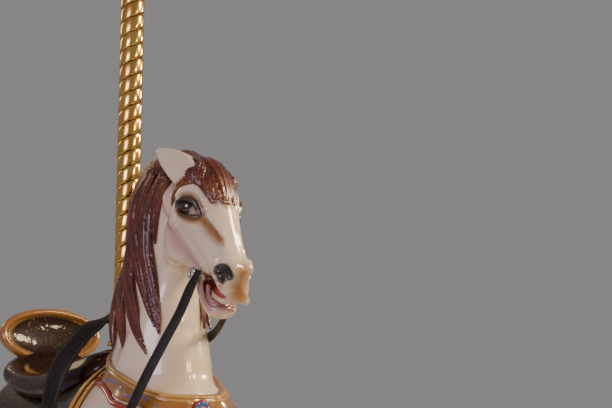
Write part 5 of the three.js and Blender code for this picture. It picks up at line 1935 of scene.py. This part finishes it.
def strap_section(half, thick, edge=1.2):
    """Corners of a strap's section as [across, out] rows, with soft edges and a line inside each edge."""
    top = thick / 2
    line = max(half - 4.0, 0.6 * half)
    rows = [
        [half, top - edge], [half - 0.35 * edge, top - 0.35 * edge], [half - edge, top], [line + 0.8, top],
        [line, top - 0.5], [line - 0.8, top], [0.4 * half, top + 0.15], [0, top + 0.2],
    ]
    upper = np.array(rows + [[-a, b] for a, b in rows[-2::-1]])
    lower = upper[::-1] * [1, -1]
    return np.concatenate([upper, lower])


STRAP_STEP = 6.0


def strap_piece(name, rows, thick, paint, replaced):
    """A flat strap. A row is [x, y, z, normal x, normal y, normal z, half width]."""
    rows = np.array(rows, float)
    length = np.linalg.norm(np.diff(smooth(rows, 8)[:, :3], axis=0), axis=1).sum()
    line = even(rows, int(length / STRAP_STEP) + 2)
    centers = line[:, :3]
    _, across, out = frames(centers, line[:, 3:6])
    rings, masks = [], {"across": [], "run": []}
    for k, half in enumerate(line[:, 6]):
        section = strap_section(half, thick)
        rings.append(centers[k] + np.outer(section[:, 0], across[k]) + np.outer(section[:, 1], out[k]))
        masks["across"].append(section[:, 0] / half)
        masks["run"].append(np.full(len(section), k * length / len(line)))
    points, faces = loft(np.array(rings))
    masks = {key: np.concatenate([*value, [0, 0]]) for key, value in masks.items()}
    finish_piece(name, points, faces, paint, "black_leather", [replaced], masks=masks)


POLE_STRAP = [
    [-34.3, 0, 1287, -1, 0, 0, 25], [-31, 19, 1286, -1, 0.4, 0.05, 25], [-15, 46, 1277, -0.6, 0.5, 0.6, 25],
    [2, 86, 1253, 0, 0.5, 0.86, 25], [6, 130, 1216, 0, 0.75, 0.66, 25], [2, 170, 1150, 0, 0.93, 0.36, 25],
    [0, 195, 1060, 0, 1, 0.1, 25], [0, 205, 960, 0, 1, 0, 25], [8, 203, 900, 0, 1, -0.1, 25],
    [32, 182, 850, 0, 0.9, -0.4, 24], [62, 155, 806, 0, 0.85, -0.5, 22],
]
# On the right side the wide strap turns its face forward between the pole and the flap.
TURNED_STRAP = [
    [-31, -19, 1286, -1, -0.4, 0.3, 25], [-14, -46, 1278, -0.2, -0.55, 0.85, 25],
    [4, -86, 1255, 0.45, -0.5, 0.75, 26], [12, -132, 1218, 0.55, -0.62, 0.55, 27],
    [14, -178, 1150, 0.55, -0.78, 0.3, 27], [8, -202, 1060, 0.3, -0.95, 0.1, 26],
    [3, -206, 960, 0, -1, 0, 25], [8, -203, 900, 0, -1, -0.1, 25], [32, -182, 850, 0, -0.9, -0.4, 24],
    [62, -155, 806, 0, -0.85, -0.5, 22],
]
RIGHT_REIN = [
    [470, -52, 1356, 0.5, -0.85, 0, 7], [463, -56, 1340, 0.5, -0.85, 0, 8],
    [448, -62, 1313, 0.45, -0.88, 0, 12], [427, -76, 1260, 0.45, -0.88, 0, 12],
    [409, -100, 1203, 0.5, -0.85, 0, 12], [380, -132, 1120, 0.5, -0.85, 0, 12],
    [349, -156, 1042, 0.4, -0.9, 0, 12], [300, -178, 960, 0.3, -0.95, 0, 12],
    [232, -193, 897, 0.15, -1, 0, 12], [150, -203, 872, 0.05, -1, 0, 12], [78, -209, 896, 0, -1, 0, 12],
    [34, -211, 946, 0, -1, 0, 12], [8, -211, 1006, 0, -1, 0.05, 12],
]
LEFT_REIN = [
    [440, 52, 1311, 0.4, 0.9, 0, 12], [438, 53, 1301, 0.4, 0.9, 0, 12], [405, 62, 1276, 0.3, 0.95, 0, 12],
    [360, 76, 1254, 0.3, 0.95, 0, 12], [300, 97, 1237, 0.3, 0.95, 0, 12],
    [230, 122, 1226, 0.2, 0.95, 0.1, 12], [150, 140, 1216, 0, 0.95, 0.3, 12],
    [76, 141, 1214, 0, 0.85, 0.5, 12], [6, 134.2, 1219.6, 0, 0.75, 0.66, 12],
]
STIRRUP = {"x": -61, "y": 199, "top": 799.7, "reach": 58, "rod": 54, "tread": 55}
LEATHER = {"half": 14, "thick": 4, "lift": 19.8}


def build_straps(skin, paint):
    strap_piece("wide_strap", [*TURNED_STRAP[::-1], *POLE_STRAP], 5.0, paint, "pole_strap")
    strap_piece("slack_rein", RIGHT_REIN, 4.0, paint, "rein_right")
    strap_piece("neck_rein", LEFT_REIN, 4.0, paint, "rein_left")
    _, y, z = side_point(skin.field, GIRTH["x"], GIRTH["end"])
    half = math.pi - math.atan2(y, z - TRUNK_Z)
    rows = []
    for share in np.linspace(-1, 1, 25):
        turn = math.pi + share * half
        way = np.array([[0, math.sin(turn), math.cos(turn)]])
        x = GIRTH["x"] - GIRTH["slant"] * ease(np.clip((abs(share) - 0.5) / 0.45, 0, 1))
        place = drape(skin, np.array([[x, 0, TRUNK_Z]]), way, np.array([3.2]))[0]
        rows.append([*place, *way[0], GIRTH["half"]])
    strap_piece("belly_band", rows, 6.0, paint, "girth")
    for word, side in SIDES:
        places = [side_point(skin.field, STIRRUP["x"], z, LEATHER["lift"]) for z in (1056, 1020, 985, 950)]
        low = max(places[-1][1], STIRRUP["y"] - 4)
        places += [[STIRRUP["x"], low, z] for z in (900, 850, 802)]
        rows = [[x, side * y, z, 0, side, 0, LEATHER["half"]] for x, y, z in places]
        strap_piece(f"leather_{word}", rows, LEATHER["thick"], paint, f"stirrup_leather_{word}")


def tube(centers, radius, ups, corners=16, squash=1.0, ring=False):
    """A round or oval tube along a line, or round a closed one."""
    if ring:
        wrapped = np.concatenate([centers[-1:], centers, centers[:1]])
        along = (wrapped[2:] - wrapped[:-2]) / 2
        along /= np.linalg.norm(along, axis=1, keepdims=True)
        out = ups - (ups * along).sum(1, keepdims=True) * along
        out /= np.linalg.norm(out, axis=1, keepdims=True)
        across = np.cross(along, out)
    else:
        along, across, out = frames(centers, ups)
    turn = np.arange(corners) * 2 * math.pi / corners
    rings = centers[:, None] + radius * (
        np.cos(turn)[None, :, None] * across[:, None] + squash * np.sin(turn)[None, :, None] * out[:, None]
    )
    return (rings.reshape(-1, 3), ring_faces(len(centers), corners)) if ring else loft(rings)


def build_stirrups(metal):
    """An arch of oval rod down to a tread plate with five grip bars."""
    reach, rod_x, tread = STIRRUP["reach"], STIRRUP["rod"], STIRRUP["tread"]
    turn = np.linspace(-0.10, math.pi + 0.10, 48)
    arch = rod_x * np.stack([np.cos(turn), 0 * turn, np.sin(turn)], -1)
    share = np.linspace(0, 1, 12)[:, None]
    right, left = np.array([rod_x, 0, 4 - tread]), np.array([-rod_x, 0, 4 - tread])
    rise, fall = right + share * (arch[0] - right), left + share[::-1] * (arch[-1] - left)
    bow = np.concatenate([rise, arch[1:-1], fall])
    plate = round_corners([[-13, 0], [-13, 9], [13, 9], [13, 0], [-13, 0]], 1.6)[:-1]
    for word, side in SIDES:
        middle = np.array([STIRRUP["x"], side * STIRRUP["y"], STIRRUP["top"] - reach])
        x, y, low = middle - [0, 0, tread]
        rings = [np.stack([0 * plate[:, 0] + place, y + plate[:, 0], low + 0.2 + plate[:, 1]], -1)
                 for place in np.linspace(x - reach, x + reach, 12)]
        sideways = np.tile([0.0, side, 0.0], (len(bow), 1))
        parts = [tube(bow + middle, 4.2, sideways, 20, 1.9), loft(np.array(rings))]
        for across in (-9, -4.5, 0, 4.5, 9):
            ends = np.array([[x - reach + 8, y + across, low + 9.6], [x + reach - 8, y + across, low + 9.6]])
            parts.append(tube(ends, 1.4, np.array([[0, 0, 1.0]] * 2), 8))
        points, faces = join(parts)
        finish_piece(f"stirrup_iron_{word}", points, faces, metal, "bright_metal", [f"stirrup_{word}"])


BIT = {"x": 448, "z": 1343, "bar": 5, "reach": 52, "ring": 12.5, "wire": 3.4}


def build_bit(metal):
    """A bar through the mouth with a ring at each end."""
    bar, reach = BIT["bar"], BIT["reach"]
    half = [[bar, reach], [bar - 1, reach + 3], [0.3, reach + 3]]
    profile = [[radius, -place] for radius, place in half[::-1]] + half
    parts = [lathe(profile, 24, (0, 1, 0), (BIT["x"], 0, BIT["z"]))]
    turn = np.arange(64) * 2 * math.pi / 64
    circle = np.stack([np.cos(turn), 0 * turn, np.sin(turn)], -1)
    for _, side in SIDES:
        center = [BIT["x"] - 3, side * (reach + 2), BIT["z"] + 8]
        parts.append(tube(BIT["ring"] * circle + center, BIT["wire"], circle, ring=True))
    points, faces = join(parts)
    finish_piece("mouth_bit", points, faces, metal, "bright_metal", ["bit"])


# Studio

def stage():
    """A plain pale floor and soft lights."""
    corners = np.array([[-15, -15, 0], [15, -15, 0], [15, 15, 0], [-15, 15, 0]]) / MM
    floor = make_mesh("studio_floor", corners, np.array([[0, 1, 2, 3]]), flat=True)
    made, tree, shader = new_material("studio_floor")
    gloss(tree, shader, (0.75, 0.74, 0.72), 0.6)
    floor.data.materials.append(made)
    world = bpy.data.worlds.new("studio")
    bpy.context.scene.world = world
    world.use_nodes = True
    background = world.node_tree.nodes["Background"]
    background.inputs["Color"].default_value = (0.84, 0.80, 0.80, 1)
    background.inputs["Strength"].default_value = 0.3
    for name, place, size, power, colour in LAMPS:
        lamp = bpy.data.lights.new(name, "AREA")
        lamp.energy, lamp.size, lamp.color = power, size, colour
        holder = bpy.data.objects.new(name, lamp)
        holder.location = place
        holder.rotation_euler = (Vector((0.2, 0, 1.2)) - Vector(place)).to_track_quat("-Z", "Y").to_euler()
        bpy.context.scene.collection.objects.link(holder)


# Each lamp: name, place in metres, size in metres, watts and colour.
LAMPS = [
    ("key", (1.7, 2.2, 3.3), 0.8, 100, (1.0, 0.80, 0.52)),
    ("low_key", (2.9, 1.3, 2.3), 0.4, 22, (1.0, 0.74, 0.42)),
    ("side", (0.2, 3.2, 2.6), 0.5, 45, (1.0, 0.78, 0.5)),
    ("fill", (2.0, -3.2, 2.2), 1.6, 60, (0.86, 0.74, 1.0)),
    ("rim", (-2.6, -1.2, 3.2), 0.9, 12, (1.0, 0.72, 0.40)),
]


def build_horse():
    cream = skin_paint()
    head_skin = build_head(cream)
    build_eyes()
    hair = hair_paint()
    build_crest(hair)
    build_mane(head_skin, hair)
    build_forelock(head_skin, hair)
    build_tail(hair)
    body_skin = build_body(cream)
    build_hooves()
    saddle = saddle_paint()
    build_cloth(body_skin, saddle)
    build_flaps(body_skin, saddle)
    build_seat(saddle)
    ochre, red = ochre_paint(), red_paint()
    build_cantle(saddle, ochre)
    build_collar(body_skin, ochre, red)
    build_rosette(red)
    build_straps(body_skin, leather_paint())
    bright = metal_paint("bright_metal", (0.62, 0.62, 0.64), 0.14)
    build_stirrups(bright)
    build_bit(bright)


def build_stand():
    brass = brass_paint()
    build_pole(brass)
    build_fittings(brass)
    build_metal()


make_camera()
stage()
build_horse()
build_stand()

bpy.context.view_layer.update()
